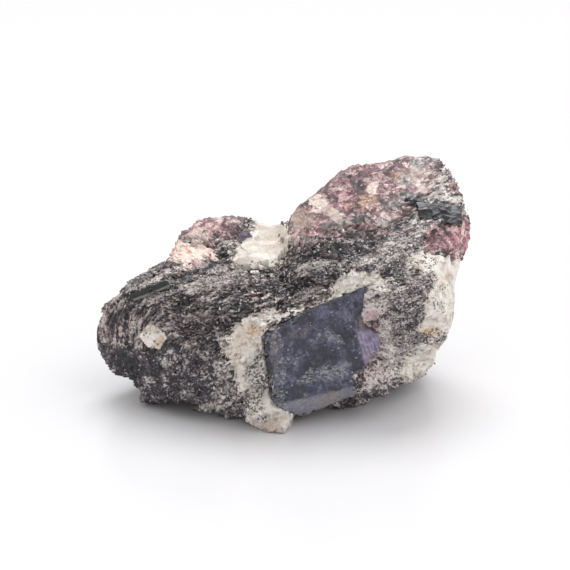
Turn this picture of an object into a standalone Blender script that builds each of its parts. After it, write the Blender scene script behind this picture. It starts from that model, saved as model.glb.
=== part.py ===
"""A ruby in its mother rock: a dark corundum prism in mica schist, with feldspar, ruby crust and hornblende.

Lengths are in millimetres until a mesh is made. +Z is up, and the rock stands on its broken base at Z = 0.
The rock is star shaped about its heart. It is the union of a few blunt blocks, each the space inside its
broken faces, and the layers of the schist step its skin. The other minerals fill pockets in it.
"""

import math

import bmesh
import bpy
import numpy as np
from mathutils import Matrix, Vector, noise

MM = 0.001
GAP = 0.35  # clear space between neighbouring minerals
SKIN_STEPS = 5  # subdivisions of the ball that the rock's skin is drawn on
LONG_BALL = (1.4, 1.0, 1.05)  # that ball, stretched so that its points spread evenly over the long rock
EDGE_SHARPNESS = 34.0  # how sharply two broken faces meet
PATCH_TAPER = 0.6  # how much narrower a patch of another mineral is at its inner end

# The heart is the point that every distance below is measured from. The rock's front leans back by LEAN.
# A place on the front is (across, upward) in mm from the heart, and frontward is the way the front faces.
HEART = np.array((-0.67, -1.8, 18.2))
LEAN = math.radians(20.0)
ACROSS = np.array((1.0, 0.0, 0.0))
UPWARD = np.array((0.0, math.sin(LEAN), math.cos(LEAN)))
FRONTWARD = np.array((0.0, -math.cos(LEAN), math.sin(LEAN)))

# A broken face is (bearing, turn, distance): bearing in degrees round the front, 0 to the right and 90 up;
# turn in degrees from there towards the front, or minus towards the back; distance in mm from the heart.
BODY_FACES = (
    (176, 0, 39.2), (150, 0, 31.8), (221, 0, 34.9), (261, -5, 22.5), (292, -8, 23.0), (348, -5, 32.5),
    (122, 0, 20.7), (105, -10, 17.2), (345, 70, 15.7), (345, 42, 21.2), (195, 60, 17.3), (100, 45, 11.4),
    (150, 40, 26.5), (230, 45, 25.0), (270, 40, 21.4), (0, -90, 21.0), (20, -55, 26.0), (180, -50, 26.8),
    (90, -60, 21.0), (320, -40, 29.0), (225, -40, 29.0), (60, -35, 28.0), (135, -35, 25.0), (295, 35, 21.0),
)
RIDGE_FACES = (
    (138, 0, 9.9), (110, 0, 21.3), (90, 0, 32.0), (70, 0, 40.0), (19, 0, 42.3), (345, 0, 32.2),
    (80, 55, 14.8), (10, 40, 29.0), (140, 40, 9.5), (90, -35, 30.0), (90, -65, 24.0), (180, -45, 10.0),
    (0, -45, 33.0), (270, 0, 12.0), (270, -45, 20.0), (200, 0, 6.0), (0, 90, 13.0), (300, 40, 17.0),
    (200, 45, 7.0),
)
MOUND_FACES = (
    (145, 0, 25.2), (125, 0, 25.0), (86, 0, 16.9), (0, 0, 8.0), (270, 0, 5.0), (110, 50, 11.8),
    (150, 25, 23.0), (90, -40, 19.0), (180, -50, 22.0), (90, -75, 20.0), (190, 0, 21.0), (200, 45, 12.0),
    (0, 90, 11.0), (340, 45, 6.0),
)
KNOB_FACES = (
    (285, 0, 22.8), (262, 0, 24.2), (268, 25, 25.6), (232, 0, 21.8), (322, 0, 15.4), (270, 50, 24.4),
    (200, 45, 17.5), (340, 50, 15.0), (270, -70, 8.0), (90, 0, 3.0), (0, 90, 14.0), (90, 50, 6.0),
    (180, 0, 14.0), (0, 0, 8.0),
)

# The schist's layers wrap round a fold core at the left end and climb to the right from there.
FOLD_CORE = (-20.0, -7.0)
LAYER_CLIMB = math.radians(17.0)
LAYER_DIP = 0.22
# From the core outwards: (thickness, overhang).
LAYERS = ((3.4, 0.55), (2.4, -0.6), (4.2, 0.7), (2.2, -0.35), (3.0, 0.45), (2.6, -0.75))
LAYER_EDGE = 0.45  # half the width of the slope from one layer to the next

# The ruby is a flattened six-sided prism lying on its side, its axis climbing to the right. Its faces are
# given like the rock's; a face behind the heart has a distance below zero.
RUBY_FACES = (
    (345, 70, 16.2), (295, 35, 21.7), (111, 5, -0.4), (2, 20, 19.0), (190, 5, 6.2), (142, 5, 1.5),
    (227, 0, 14.1), (337, 0, 21.2), (281, -20, 17.0), (165, -70, -1.5),
)
RUBY_WEAR = 0.35  # width of the rounding along its edges
RUBY_PLACE = (6.5, -8.0)  # middle of its broad face on the front
WORN_BACK = 1.3  # how far the schist is worn back round the ruby

# The patches of other minerals: where each starts inside the rock, counted frontward from the heart, and its
# outline on the front, anticlockwise.
COLLAR = (7.5, (
    (20.5, 6.7), (17.5, 7.9), (13.2, 7.3), (9.3, 5.4), (4.4, 2.9), (0.6, 1.4), (-3.8, 0.6), (-8.1, -1.3),
    (-10.8, -4.6), (-11.5, -8.5), (-10.3, -12.5), (-7.5, -15.6), (-6.9, -18.1), (-7.4, -21.0),
    (-5.2, -24.0), (-1.1, -25.0), (3.0, -23.4), (2.8, -20.0), (-0.6, -16.6), (-2.6, -10.0), (-3.0, -5.2),
    (-1.6, -3.2), (1.4, -1.2), (6.8, 0.6), (10.5, 1.9), (14.2, 3.6), (17.4, 3.8), (20.9, 3.4),
))
TOP = (-4.0, (
    (-9.8, 8.3), (-6.3, 7.9), (-2.1, 8.7), (0.6, 10.3), (1.2, 12.3), (2.0, 14.6), (0.4, 19.8), (-4.6, 19.4),
    (-6.2, 15.6), (-8.6, 13.8), (-9.8, 12.1),
))
GRAIN = (1.5, ((-26.5, -7.0), (-24.1, -7.4), (-22.7, -5.4), (-23.3, -4.2), (-25.9, -2.6), (-28.0, -5.0)))
MOUND = (-3.0, (
    (-23.4, 9.5), (-20.1, 8.7), (-16.1, 9.5), (-13.8, 11.1), (-14.8, 12.3), (-17.7, 12.3), (-20.5, 13.3),
    (-22.9, 11.5),
))
SIDE = (-15.0, (
    (26.3, 8.0), (28.9, 7.0), (29.3, 4.8), (27.3, 1.8), (27.7, -1.1), (26.3, -4.3), (28.1, -5.1),
    (32.9, -5.5), (37.6, -2.9), (39.2, 4.0), (39.6, 10.3), (33.7, 10.5), (30.5, 11.7), (27.7, 12.3),
    (24.8, 10.7),
))
FOOT = (-8.0, (
    (29.3, -6.7), (26.3, -8.7), (23.4, -11.0), (22.8, -14.0), (25.4, -14.0), (30.3, -12.0), (33.1, -9.1),
    (32.7, -6.5),
))
MOUND_CRUST = (-9.0, (
    (-17.3, 12.5), (-14.6, 12.5), (-11.8, 13.7), (-9.1, 14.5), (-7.2, 17.2), (-8.8, 21.0), (-13.0, 21.8),
    (-16.3, 21.4), (-21.0, 18.6), (-20.9, 13.5),
))
RIDGE_CRUST = (-14.0, (
    (4.2, 14.4), (8.6, 14.8), (14.0, 16.2), (20.4, 15.8), (23.2, 18.0), (24.8, 21.4), (29.2, 23.2),
    (29.6, 26.8), (33.6, 30.8), (31.4, 35.4), (23.6, 36.2), (18.0, 35.4), (12.4, 33.8), (8.4, 30.8),
    (4.0, 25.2), (0.2, 20.2), (0.8, 13.4),
))
SIDE_CRUST = (-13.0, (
    (28.8, 13.6), (30.8, 12.0), (34.0, 10.8), (39.6, 11.2), (41.0, 14.0), (39.6, 18.4), (32.6, 17.6),
    (28.8, 16.8),
))
VIOLET = (-1.8, ((-8.2, 13.2), (-6.6, 13.4), (-6.0, 14.6), (-6.9, 15.6), (-8.4, 15.4), (-9.0, 14.2)))

# The hornblende prisms: (across, upward, half length, half height, half depth, turn in degrees).
SHOULDER_PRISMS = (
    (30.4, 20.4, 4.4, 2.2, 3.2, -8),
    (34.2, 18.6, 3.0, 2.0, 2.8, 70),
    (26.8, 19.2, 2.8, 1.7, 2.4, -25),
)
BLADE_PRISMS = ((-26.6, 3.2, 4.6, 1.0, 1.7, 22),)

COLOURS = {
    "schist": (0.115, 0.105, 0.108), "ruby": (0.085, 0.082, 0.125), "violet_ruby": (0.20, 0.15, 0.22),
    "ruby_crust": (0.34, 0.18, 0.19), "feldspar": (0.74, 0.69, 0.62), "peach_feldspar": (0.76, 0.58, 0.50),
    "hornblende": (0.075, 0.075, 0.085),
}
ROUGHNESS = {"schist": 0.45, "ruby": 0.3, "violet_ruby": 0.3, "ruby_crust": 0.45, "hornblende": 0.3}
CHALKY = 0.6  # roughness of the feldspars


def turned(bearing, turn):
    """The unit vector at a bearing and a turn, both in degrees."""
    bearing, turn = math.radians(bearing), math.radians(turn)
    flat = math.cos(bearing) * ACROSS + math.sin(bearing) * UPWARD
    return math.cos(turn) * flat + math.sin(turn) * FRONTWARD


def block_reach(directions, faces):
    """How far a block reaches along each direction: the softened least of its faces."""
    normals = np.array([turned(bearing, turn) for bearing, turn, _ in faces])
    distances = np.array([distance for _, _, distance in faces])
    nearness = np.maximum(directions @ normals.T / distances, 0.0)
    return (nearness**EDGE_SHARPNESS).sum(axis=1) ** (-1.0 / EDGE_SHARPNESS)


def bare_reach(directions):
    """The rock's reach before its layers and lumps."""
    blocks = (BODY_FACES, RIDGE_FACES, MOUND_FACES, KNOB_FACES)
    return np.max([block_reach(directions, faces) for faces in blocks], axis=0)


def layer_overhang(points):
    """How far the layer at each point stands out of the rock."""
    across, upward, frontward = ((points - HEART) @ np.array((ACROSS, UPWARD, FRONTWARD)).T).T
    run = across - FOLD_CORE[0]
    rise = upward - FOLD_CORE[1] - math.tan(LAYER_CLIMB) * np.maximum(run, 0.0) + LAYER_DIP * frontward
    depth = np.hypot(np.minimum(run, 0.0), rise * math.cos(LAYER_CLIMB))
    depth += 0.6 * np.sin(0.35 * across + 0.2 * frontward)
    edges, overhangs, start = [], [], 0.0
    for thickness, overhang in LAYERS:
        edges += [start + LAYER_EDGE, start + thickness - LAYER_EDGE]
        overhangs += [overhang, overhang]
        start += thickness
    fading = 0.7 + 0.3 * np.sin(0.22 * across + 0.45 * frontward + 0.8 * upward)
    fading /= 1.0 + np.exp(across / 4 - 3)
    return fading * np.interp(depth % start, edges, overhangs, period=start)


def slow_lumps(points):
    """Broad swells and hollows of the skin."""
    x, y, z = (points - HEART).T
    along = np.sin(0.42 * x + 0.31 * z + 1.1)
    aslant = np.sin(0.37 * z - 0.29 * y + 2.0)
    over = np.sin(0.33 * y + 0.27 * x)
    return 0.35 * (along + aslant + over)


def grain_bumps(points, size, height):
    """Rounded grains of this size, standing up to this height out of the skin."""
    nearest = [noise.voronoi(Vector(point) / size)[0][0] for point in points]
    return height * (0.8 - np.array(nearest))


def worn_back(points):
    """How far the rock is worn back, most at the ruby's broad face."""
    across, upward = ((points - HEART) @ np.array((ACROSS, UPWARD)).T - RUBY_PLACE).T
    frontward = (points - HEART) @ FRONTWARD
    return WORN_BACK * np.exp(-((across / 11.0) ** 4) - (upward / 12.0) ** 4) * (frontward > 0)


def schist_skin(points):
    return layer_overhang(points) + slow_lumps(points) - worn_back(points)


def feldspar_skin(points):
    return 0.5 + slow_lumps(points) + grain_bumps(points, 4.5, 0.8) - 0.5 * worn_back(points)


def crust_skin(points):
    return 0.6 + slow_lumps(points) + grain_bumps(points, 3.2, 1.5)


def new_object(name, shape):
    """An object made of a bmesh in millimetres, which it frees."""
    bmesh.ops.scale(shape, vec=(MM, MM, MM), verts=shape.verts)
    bmesh.ops.triangulate(shape, faces=shape.faces)
    bmesh.ops.recalc_face_normals(shape, faces=shape.faces)
    mesh = bpy.data.meshes.new(name)
    shape.to_mesh(mesh)
    shape.free()
    obj = bpy.data.objects.new(name, mesh)
    bpy.context.scene.collection.objects.link(obj)
    return obj


def cut_by_plane(shape, point, way):
    """Cuts off what lies beyond a plane and closes the cut."""
    geometry = shape.verts[:] + shape.edges[:] + shape.faces[:]
    bmesh.ops.bisect_plane(shape, geom=geometry, plane_co=point, plane_no=way, clear_outer=True)
    bmesh.ops.holes_fill(shape, edges=[edge for edge in shape.edges if edge.is_boundary])


def rock(name, skin):
    """The whole rock with one mineral's skin, standing on its flat base."""
    shape = bmesh.new()
    bmesh.ops.create_icosphere(shape, subdivisions=SKIN_STEPS, radius=1.0)
    directions = np.array([vertex.co for vertex in shape.verts]) * LONG_BALL
    directions /= np.linalg.norm(directions, axis=1)[:, None]
    reach = bare_reach(directions)
    reach += skin(HEART + directions * reach[:, None])
    for vertex, point in zip(shape.verts, HEART + directions * reach[:, None]):
        vertex.co = point
    cut_by_plane(shape, (0, 0, 0), (0, 0, -1))
    return new_object(name, shape)


def on_front(across, upward):
    """The point of the bare front skin at this place, found by halving the way from inside to outside."""
    inside, outside = -10.0, 40.0
    for _ in range(30):
        middle = (inside + outside) / 2
        offset = across * ACROSS + upward * UPWARD + middle * FRONTWARD
        length = np.linalg.norm(offset)
        if bare_reach((offset / length)[None])[0] > length:
            inside = middle
        else:
            outside = middle
    return HEART + across * ACROSS + upward * UPWARD + inside * FRONTWARD


def front_matrix(across, upward, turn, scale):
    """Places a unit shape on the front: its X along the turn, its Y up from that, its Z frontward."""
    turn = math.radians(turn)
    along = math.cos(turn) * ACROSS + math.sin(turn) * UPWARD
    up = math.cos(turn) * UPWARD - math.sin(turn) * ACROSS
    columns = [along * scale[0], up * scale[1], FRONTWARD * scale[2], on_front(across, upward)]
    return Matrix([[*(column[row] for column in columns)] for row in range(3)] + [[0, 0, 0, 1]])


def widened(outline, grow):
    """The outline, given anticlockwise, with every side moved outward by grow."""
    points = np.array(outline)
    ahead = np.roll(points, -1, axis=0) - points
    ahead /= np.linalg.norm(ahead, axis=1)[:, None]
    out = np.stack((ahead[:, 1], -ahead[:, 0]), axis=1)
    behind = np.roll(out, 1, axis=0)
    return points + grow * (out + behind) / np.maximum(1.0 + (out * behind).sum(axis=1), 0.4)[:, None]


def patch(name, start, outline, grow):
    """A body that starts inside the rock, widens to its outline and runs out of the rock's front."""
    rim = widened(outline, grow)
    inset = widened(outline, grow - PATCH_TAPER)
    rings = ((inset, start - grow), (rim, start + 2.0), (rim, 45.0))
    shape = bmesh.new()
    rows = []
    for ring, depth in rings:
        offsets = ring @ np.array((ACROSS, UPWARD)) + depth * FRONTWARD
        rows.append([shape.verts.new(HEART + offset) for offset in offsets])
    for lower, upper in zip(rows, rows[1:]):
        for index in range(len(lower)):
            after = (index + 1) % len(lower)
            shape.faces.new((lower[index], lower[after], upper[after], upper[index]))
    shape.faces.new(rows[0])
    shape.faces.new(rows[-1])
    return new_object(name, shape)


def apart(obj, other):
    """Whether the boxes round two objects keep clear of each other."""
    near, far = np.array(obj.bound_box), np.array(other.bound_box)
    return bool((near.min(axis=0) > far.max(axis=0)).any() or (far.min(axis=0) > near.max(axis=0)).any())


def combine(obj, other, operation):
    """Applies one Boolean with another object, which is then removed."""
    if operation == "DIFFERENCE" and apart(obj, other):
        bpy.data.objects.remove(other)
        return obj
    modifier = obj.modifiers.new(operation, "BOOLEAN")
    modifier.operation = operation
    modifier.solver = "EXACT"
    modifier.object = other
    graph = bpy.context.evaluated_depsgraph_get()
    mesh = bpy.data.meshes.new_from_object(obj.evaluated_get(graph))
    obj.modifiers.clear()
    obj.data = mesh
    bpy.data.objects.remove(other)
    return obj


def keep_largest_piece(obj):
    """Removes crumbs that a cut has parted from the object."""
    shape = bmesh.new()
    shape.from_mesh(obj.data)
    left, pieces = set(shape.verts), []
    while left:
        piece, edge = set(), [left.pop()]
        while edge:
            vertex = edge.pop()
            piece.add(vertex)
            near = {link.other_vert(vertex) for link in vertex.link_edges} & left
            left -= near
            edge += near
        pieces.append(piece)
    pieces.sort(key=len)
    for piece in pieces[:-1]:
        bmesh.ops.delete(shape, geom=list(piece), context="VERTS")
    shape.to_mesh(obj.data)
    shape.free()


def prisms(name, places, grow):
    """Several six-sided prisms grown together, each lying along its turn."""
    whole = None
    for across, upward, length, height, depth, turn in places:
        shape = bmesh.new()
        bmesh.ops.create_cone(shape, cap_ends=True, segments=6, radius1=1.0, radius2=1.0, depth=2.0)
        bmesh.ops.rotate(shape, verts=shape.verts, matrix=Matrix.Rotation(math.radians(90), 3, "Y"))
        shape.transform(front_matrix(across, upward, turn, (length + grow, height + grow, depth + grow)))
        obj = new_object(name, shape)
        whole = obj if whole is None else combine(whole, obj, "UNION")
    return whole


def ruby(name, grow=0.0):
    """The ruby, cut face by face out of a block."""
    shape = bmesh.new()
    bmesh.ops.create_cube(shape, size=90.0)
    bmesh.ops.translate(shape, verts=shape.verts, vec=HEART)
    for bearing, turn, distance in RUBY_FACES:
        way = turned(bearing, turn)
        cut_by_plane(shape, HEART + way * (distance + grow), way)
    cut_by_plane(shape, (0, 0, -grow), (0, 0, -1))
    if not grow:
        bmesh.ops.bevel(shape, geom=shape.edges[:], offset=RUBY_WEAR, segments=1, affect="EDGES")
    return new_object(name, shape)


def give_material(obj, colour):
    """A plain material of its own for one mineral."""
    material = bpy.data.materials.new(colour)
    material.use_nodes = True
    shader = material.node_tree.nodes["Principled BSDF"]
    shader.inputs["Base Color"].default_value = (*COLOURS[colour], 1.0)
    shader.inputs["Roughness"].default_value = ROUGHNESS.get(colour, CHALKY)
    obj.data.materials.clear()
    obj.data.materials.append(material)


def main():
    for obj in list(bpy.data.objects):
        bpy.data.objects.remove(obj)
    # (name, colour, maker, what it is made from, skin that trims it or None), innermost mineral first.
    minerals = (
        ("ruby_crystal", "ruby", ruby, (), None),
        ("violet_ruby_crystal", "violet_ruby", patch, VIOLET, feldspar_skin),
        ("hornblende_crystals", "hornblende", prisms, (SHOULDER_PRISMS,), None),
        ("hornblende_blade", "hornblende", prisms, (BLADE_PRISMS,), None),
        ("feldspar_grain", "feldspar", patch, GRAIN, feldspar_skin),
        ("feldspar_collar", "feldspar", patch, COLLAR, feldspar_skin),
        ("feldspar_side", "feldspar", patch, SIDE, feldspar_skin),
        ("feldspar_foot", "feldspar", patch, FOOT, feldspar_skin),
        ("feldspar_top", "feldspar", patch, TOP, feldspar_skin),
        ("feldspar_mound", "peach_feldspar", patch, MOUND, feldspar_skin),
        ("ruby_crust_mound", "ruby_crust", patch, MOUND_CRUST, crust_skin),
        ("ruby_crust_ridge", "ruby_crust", patch, RIDGE_CRUST, crust_skin),
        ("ruby_crust_side", "ruby_crust", patch, SIDE_CRUST, crust_skin),
    )
    finished = [("mica_schist", "schist", rock("schist", schist_skin))]
    schist = finished[0][2]
    for index, (name, colour, make, source, skin) in enumerate(minerals):
        body = make(name, *source, 0.0)
        if skin is not None:
            combine(body, rock("skin", skin), "INTERSECT")
        for _, _, make_inner, inner_source, _ in minerals[:index]:
            combine(body, make_inner("pocket", *inner_source, GAP), "DIFFERENCE")
        keep_largest_piece(body)
        combine(schist, make("pocket", *source, GAP), "DIFFERENCE")
        finished.append((name, colour, body))
    keep_largest_piece(schist)
    specimen = bpy.data.collections.new("ruby_in_matrix")
    bpy.context.scene.collection.children.link(specimen)
    for name, colour, obj in finished:
        obj.name = name
        bpy.context.scene.collection.objects.unlink(obj)
        specimen.objects.link(obj)
        give_material(obj, colour)


main()
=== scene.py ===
import functools
import math
import bpy
import numpy as np
from mathutils import Matrix, Vector


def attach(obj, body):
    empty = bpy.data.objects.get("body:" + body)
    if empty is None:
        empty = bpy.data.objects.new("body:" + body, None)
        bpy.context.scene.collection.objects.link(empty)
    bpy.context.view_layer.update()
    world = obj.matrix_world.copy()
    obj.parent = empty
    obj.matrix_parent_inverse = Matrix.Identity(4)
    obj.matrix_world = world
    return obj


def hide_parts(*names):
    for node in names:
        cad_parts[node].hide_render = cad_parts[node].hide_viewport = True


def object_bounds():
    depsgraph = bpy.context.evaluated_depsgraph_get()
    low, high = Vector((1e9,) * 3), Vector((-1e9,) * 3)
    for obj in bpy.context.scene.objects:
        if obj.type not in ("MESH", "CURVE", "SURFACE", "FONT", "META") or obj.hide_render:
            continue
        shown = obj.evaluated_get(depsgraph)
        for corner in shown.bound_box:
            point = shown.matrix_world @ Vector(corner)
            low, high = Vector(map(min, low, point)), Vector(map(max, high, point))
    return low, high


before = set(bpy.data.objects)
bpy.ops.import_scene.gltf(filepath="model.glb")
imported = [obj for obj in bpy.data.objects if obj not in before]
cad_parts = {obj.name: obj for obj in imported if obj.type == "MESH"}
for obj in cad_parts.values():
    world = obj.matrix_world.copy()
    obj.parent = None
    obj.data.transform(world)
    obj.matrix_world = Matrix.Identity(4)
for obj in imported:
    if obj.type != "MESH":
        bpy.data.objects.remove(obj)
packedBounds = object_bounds()
print("packed solids loaded")

mm = 0.001

# The rock's own shape, from the same values as the solids.
# The heart is the point that distances are measured from; the broad front leans back by leanAngle.
heart = np.array((-0.67, -1.8, 18.2))
leanAngle = math.radians(20.0)
across = np.array((1.0, 0.0, 0.0))
upward = np.array((0.0, math.sin(leanAngle), math.cos(leanAngle)))
frontward = np.array((0.0, -math.cos(leanAngle), math.sin(leanAngle)))
frontAxes = np.array((across, upward, frontward))

# Four blocks grown together. Each broken face is (bearing, turn towards the front, distance), degrees and mm.
rockShape = {
    "edgeSharpness": 34.0,
    "body": (
        (176, 0, 40.8), (150, 0, 31.8), (221, 0, 34.3), (261, -5, 22.5), (292, -8, 23.0), (348, -5, 32.1),
        (122, 0, 20.4), (105, -10, 17.2), (345, 70, 15.7), (345, 42, 21.2), (195, 60, 17.3), (100, 45, 11.4),
        (150, 40, 26.5), (230, 45, 25.0), (270, 40, 21.4), (0, -90, 21.0), (20, -55, 26.0), (180, -50, 26.8),
        (90, -60, 21.0), (320, -40, 29.0), (225, -40, 29.0), (60, -35, 28.0), (135, -35, 25.0),
        (295, 35, 21.0),
    ),
    "ridge": (
        (138, 0, 10.3), (110, 0, 21.3), (90, 0, 32.0), (70, 0, 40.0), (19, 0, 42.0), (345, 0, 32.2),
        (80, 55, 14.8), (10, 40, 29.0), (140, 40, 9.5), (90, -35, 30.0), (90, -65, 24.0), (180, -45, 10.0),
        (0, -45, 33.0), (270, 0, 12.0), (270, -45, 20.0), (200, 0, 6.0), (0, 90, 13.0), (300, 40, 17.0),
        (200, 45, 7.0),
    ),
    "mound": (
        (145, 0, 24.8), (125, 0, 25.0), (86, 0, 16.9), (0, 0, 8.0), (270, 0, 5.0), (110, 50, 11.8),
        (150, 25, 23.0), (90, -40, 19.0), (180, -50, 22.0), (90, -75, 20.0), (190, 0, 21.0), (200, 45, 12.0),
        (0, 90, 11.0), (340, 45, 6.0),
    ),
    "knob": (
        (285, 0, 22.8), (262, 0, 24.2), (268, 25, 25.6), (232, 0, 21.8), (322, 0, 15.4), (270, 50, 24.4),
        (200, 45, 17.5), (340, 50, 15.0), (270, -70, 8.0), (90, 0, 3.0), (0, 90, 14.0), (90, 50, 6.0),
        (180, 0, 14.0), (0, 0, 8.0),
    ),
}

# The schist's layers wrap round a fold core at the left end and climb to the right from there.
# wave: height, and radians for each mm across and back; steps: each layer's thickness and overhang.
schistLayers = {
    "foldCore": (-20.0, -7.0), "climb": math.radians(17.0), "dip": 0.22, "wave": (0.6, 0.35, 0.2),
    "noseRadius": 3.0, "edge": 0.45,
    "steps": ((3.4, 0.55), (2.4, -0.6), (4.2, 0.7), (2.2, -0.35), (3.0, 0.45), (2.6, -0.75)),
}
# Hollows seen from the front: (across, upward, half width, half height, depth, how far back they reach).
hollows = (
    (6.5, -8.0, 11.0, 12.0, 1.3, 0.0), (-31.0, -15.6, 2.6, 2.6, 2.6, -14.0),
    (-17.5, -22.0, 7.0, 3.6, 2.0, -14.0),
)

# The ruby's faces, given like the rock's; a face behind the heart has a distance below zero.
rubyFaces = (
    (345, 70, 16.2), (295, 35, 21.7), (111, 5, -0.4), (2, 20, 20.9), (190, 5, 6.2), (142, 5, 1.5),
    (227, 0, 14.1), (337, 0, 22.4), (281, -20, 17.0), (165, -70, -1.5),
)

# The other minerals on the front, each inside an outline (anticlockwise) and in front of its start.
# swell and patchSink: how far a patch stands above the rock's skin inside its outline, and lies below it
# outside; patchUnderRuby: how far it is sunk under the ruby; rag: how far its edge is broken; facets and
# relief: size and height of its broken faces; waxy: how smooth it is between them; pebble: height of its
# rounded lumps; freckles: how much mica lies along its edge.
patchSink, patchUnderRuby = 0.9, 1.8
patchPaint = {
    "feldspar": ("rust", "grey"), "peach_feldspar": ("rust", "grey"),
    "ruby_crust": ("cream", "rust", "grey", "crimson"),
}
patches = {
    "feldspar_collar": {
        "slot": "feldspar", "grid": (300, 260), "start": 7.5, "swell": 0.12, "rag": 1.9,
        "facets": 1.1, "relief": 0.5, "waxy": 0.15, "pebble": 0.0, "freckles": 0.9,
        "outline": (
            (20.8, 6.9), (17.5, 8.1), (13.4, 7.9), (10.0, 6.0), (8.4, 3.4), (4.8, 1.7), (0.8, 0.5),
            (-3.8, 0.2), (-8.1, -1.5), (-10.8, -4.6), (-11.5, -8.5), (-10.3, -12.5), (-7.5, -15.6),
            (-6.9, -18.1), (-7.4, -21.0), (-5.2, -24.0), (-1.1, -25.0), (3.0, -23.4), (2.8, -20.0),
            (-0.6, -16.6), (-2.6, -10.0), (-3.0, -5.2), (-1.6, -3.2), (1.4, -1.2), (6.8, 0.6), (10.5, 1.9),
            (14.2, 3.6), (17.4, 3.8), (20.9, 3.4),
        ),
    },
    "feldspar_side": {
        "slot": "feldspar", "grid": (230, 230), "start": -15.0, "swell": 0.15, "rag": 2.0,
        "facets": 2.8, "relief": 0.4, "waxy": 0.4, "pebble": 0.0, "freckles": 0.8,
        "outline": (
            (26.3, 8.0), (28.9, 7.0), (29.3, 4.8), (27.3, 1.8), (27.7, -1.1), (26.3, -4.3), (28.1, -5.1),
            (32.9, -5.5), (37.6, -2.9), (39.2, 4.0), (39.6, 10.3), (33.7, 10.5), (30.5, 11.7), (27.7, 12.3),
            (24.8, 10.7),
        ),
    },
    "feldspar_foot": {
        "slot": "feldspar", "grid": (130, 130), "start": -8.0, "swell": 0.3, "rag": 2.2,
        "facets": 1.0, "relief": 0.4, "waxy": 0.3, "pebble": 0.0, "freckles": 0.5,
        "outline": (
            (29.3, -6.7), (26.3, -8.7), (23.4, -11.0), (22.8, -14.0), (25.4, -14.0), (30.3, -12.0),
            (33.1, -9.1), (32.7, -6.5),
        ),
    },
    "feldspar_top": {
        "slot": "feldspar", "grid": (200, 200), "start": -4.0, "swell": 0.3, "rag": 1.6,
        "facets": 3.4, "relief": 0.6, "waxy": 0.85, "pebble": 0.0, "freckles": 0.8,
        "outline": (
            (-9.8, 8.3), (-6.3, 7.9), (-2.1, 8.7), (0.6, 10.3), (1.2, 12.3), (2.0, 14.6), (0.4, 19.8),
            (-4.6, 19.4), (-6.2, 15.6), (-8.6, 13.8), (-9.8, 12.1),
        ),
    },
    "feldspar_mound": {
        "slot": "peach_feldspar", "grid": (160, 120), "start": -3.0, "swell": 0.2, "rag": 1.8,
        "facets": 1.2, "relief": 0.5, "waxy": 0.3, "pebble": 0.0, "freckles": 0.5,
        "outline": (
            (-23.4, 9.5), (-20.1, 8.7), (-16.1, 9.5), (-13.4, 11.4), (-13.8, 13.0), (-17.2, 13.9),
            (-20.5, 14.2), (-22.9, 11.5),
        ),
    },
    "ruby_crust_mound": {
        "slot": "ruby_crust", "grid": (230, 230), "start": -9.0, "swell": 0.35, "rag": 1.8,
        "facets": 0.8, "relief": 0.35, "waxy": 0.0, "pebble": 1.3, "freckles": 0.0,
        "outline": (
            (-17.3, 14.1), (-14.6, 13.4), (-11.8, 13.7), (-9.1, 14.5), (-7.2, 17.2), (-8.8, 21.0),
            (-13.0, 21.8), (-16.3, 21.4), (-21.0, 18.6), (-20.9, 14.5),
        ),
    },
    "ruby_crust_ridge": {
        "slot": "ruby_crust", "grid": (340, 280), "start": -14.0, "swell": 0.35, "rag": 2.0,
        "facets": 0.8, "relief": 0.35, "waxy": 0.0, "pebble": 1.3, "freckles": 0.0,
        "outline": (
            (4.2, 14.4), (8.6, 14.8), (14.0, 16.2), (20.4, 15.8), (23.2, 18.0), (24.8, 21.4), (29.2, 23.2),
            (29.6, 26.8), (33.6, 30.8), (31.4, 35.4), (23.6, 36.2), (18.0, 35.4), (12.4, 33.8), (8.4, 30.8),
            (4.0, 25.2), (0.2, 20.2), (0.8, 13.4),
        ),
    },
    "ruby_crust_side": {
        "slot": "ruby_crust", "grid": (190, 200), "start": -13.0, "swell": 0.3, "rag": 1.8,
        "facets": 0.9, "relief": 0.4, "waxy": 0.0, "pebble": 1.1, "freckles": 0.0,
        "outline": (
            (28.8, 13.6), (30.8, 12.0), (34.0, 10.8), (39.6, 11.2), (41.0, 14.0), (39.6, 18.4), (32.6, 17.6),
            (28.8, 16.8),
        ),
    },
}


def hashUnit(cells, seed):
    # a number from 0 to 1 for every lattice cell: its three whole numbers and the seed, mixed by odd factors
    x, y, z = (cells[..., axis].astype(np.uint32) for axis in range(3))
    mixed = x * np.uint32(374761393) + y * np.uint32(668265263) + z * np.uint32(2147483647)
    mixed = mixed + np.uint32(seed * 1274126177 % 2**32)
    for shift, factor in ((13, 1103515245), (16, 2246822519)):
        mixed = (mixed ^ (mixed >> np.uint32(shift))) * np.uint32(factor)
    return ((mixed ^ (mixed >> np.uint32(13))) & np.uint32(0xFFFFFF)).astype(float) / 0xFFFFFF


def softNoise(points, seed):
    # random values on a unit lattice, blended smoothly in between, from -1 to 1
    base = np.floor(points).astype(np.int64)
    part = points - base
    part = part * part * (3.0 - 2.0 * part)
    total = np.zeros(len(points))
    for corner in np.ndindex(2, 2, 2):
        weight = np.prod(np.where(corner, part, 1.0 - part), axis=1)
        total += weight * hashUnit(base + corner, seed)
    return total * 2.0 - 1.0


def roughNoise(points, seed):
    # soft noise with finer and lower copies of itself added: n(p) + n(2p) / 2 + n(4p) / 4
    return sum(0.5**octave * softNoise(points * 2.0**octave, seed + octave) for octave in range(3))


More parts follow.
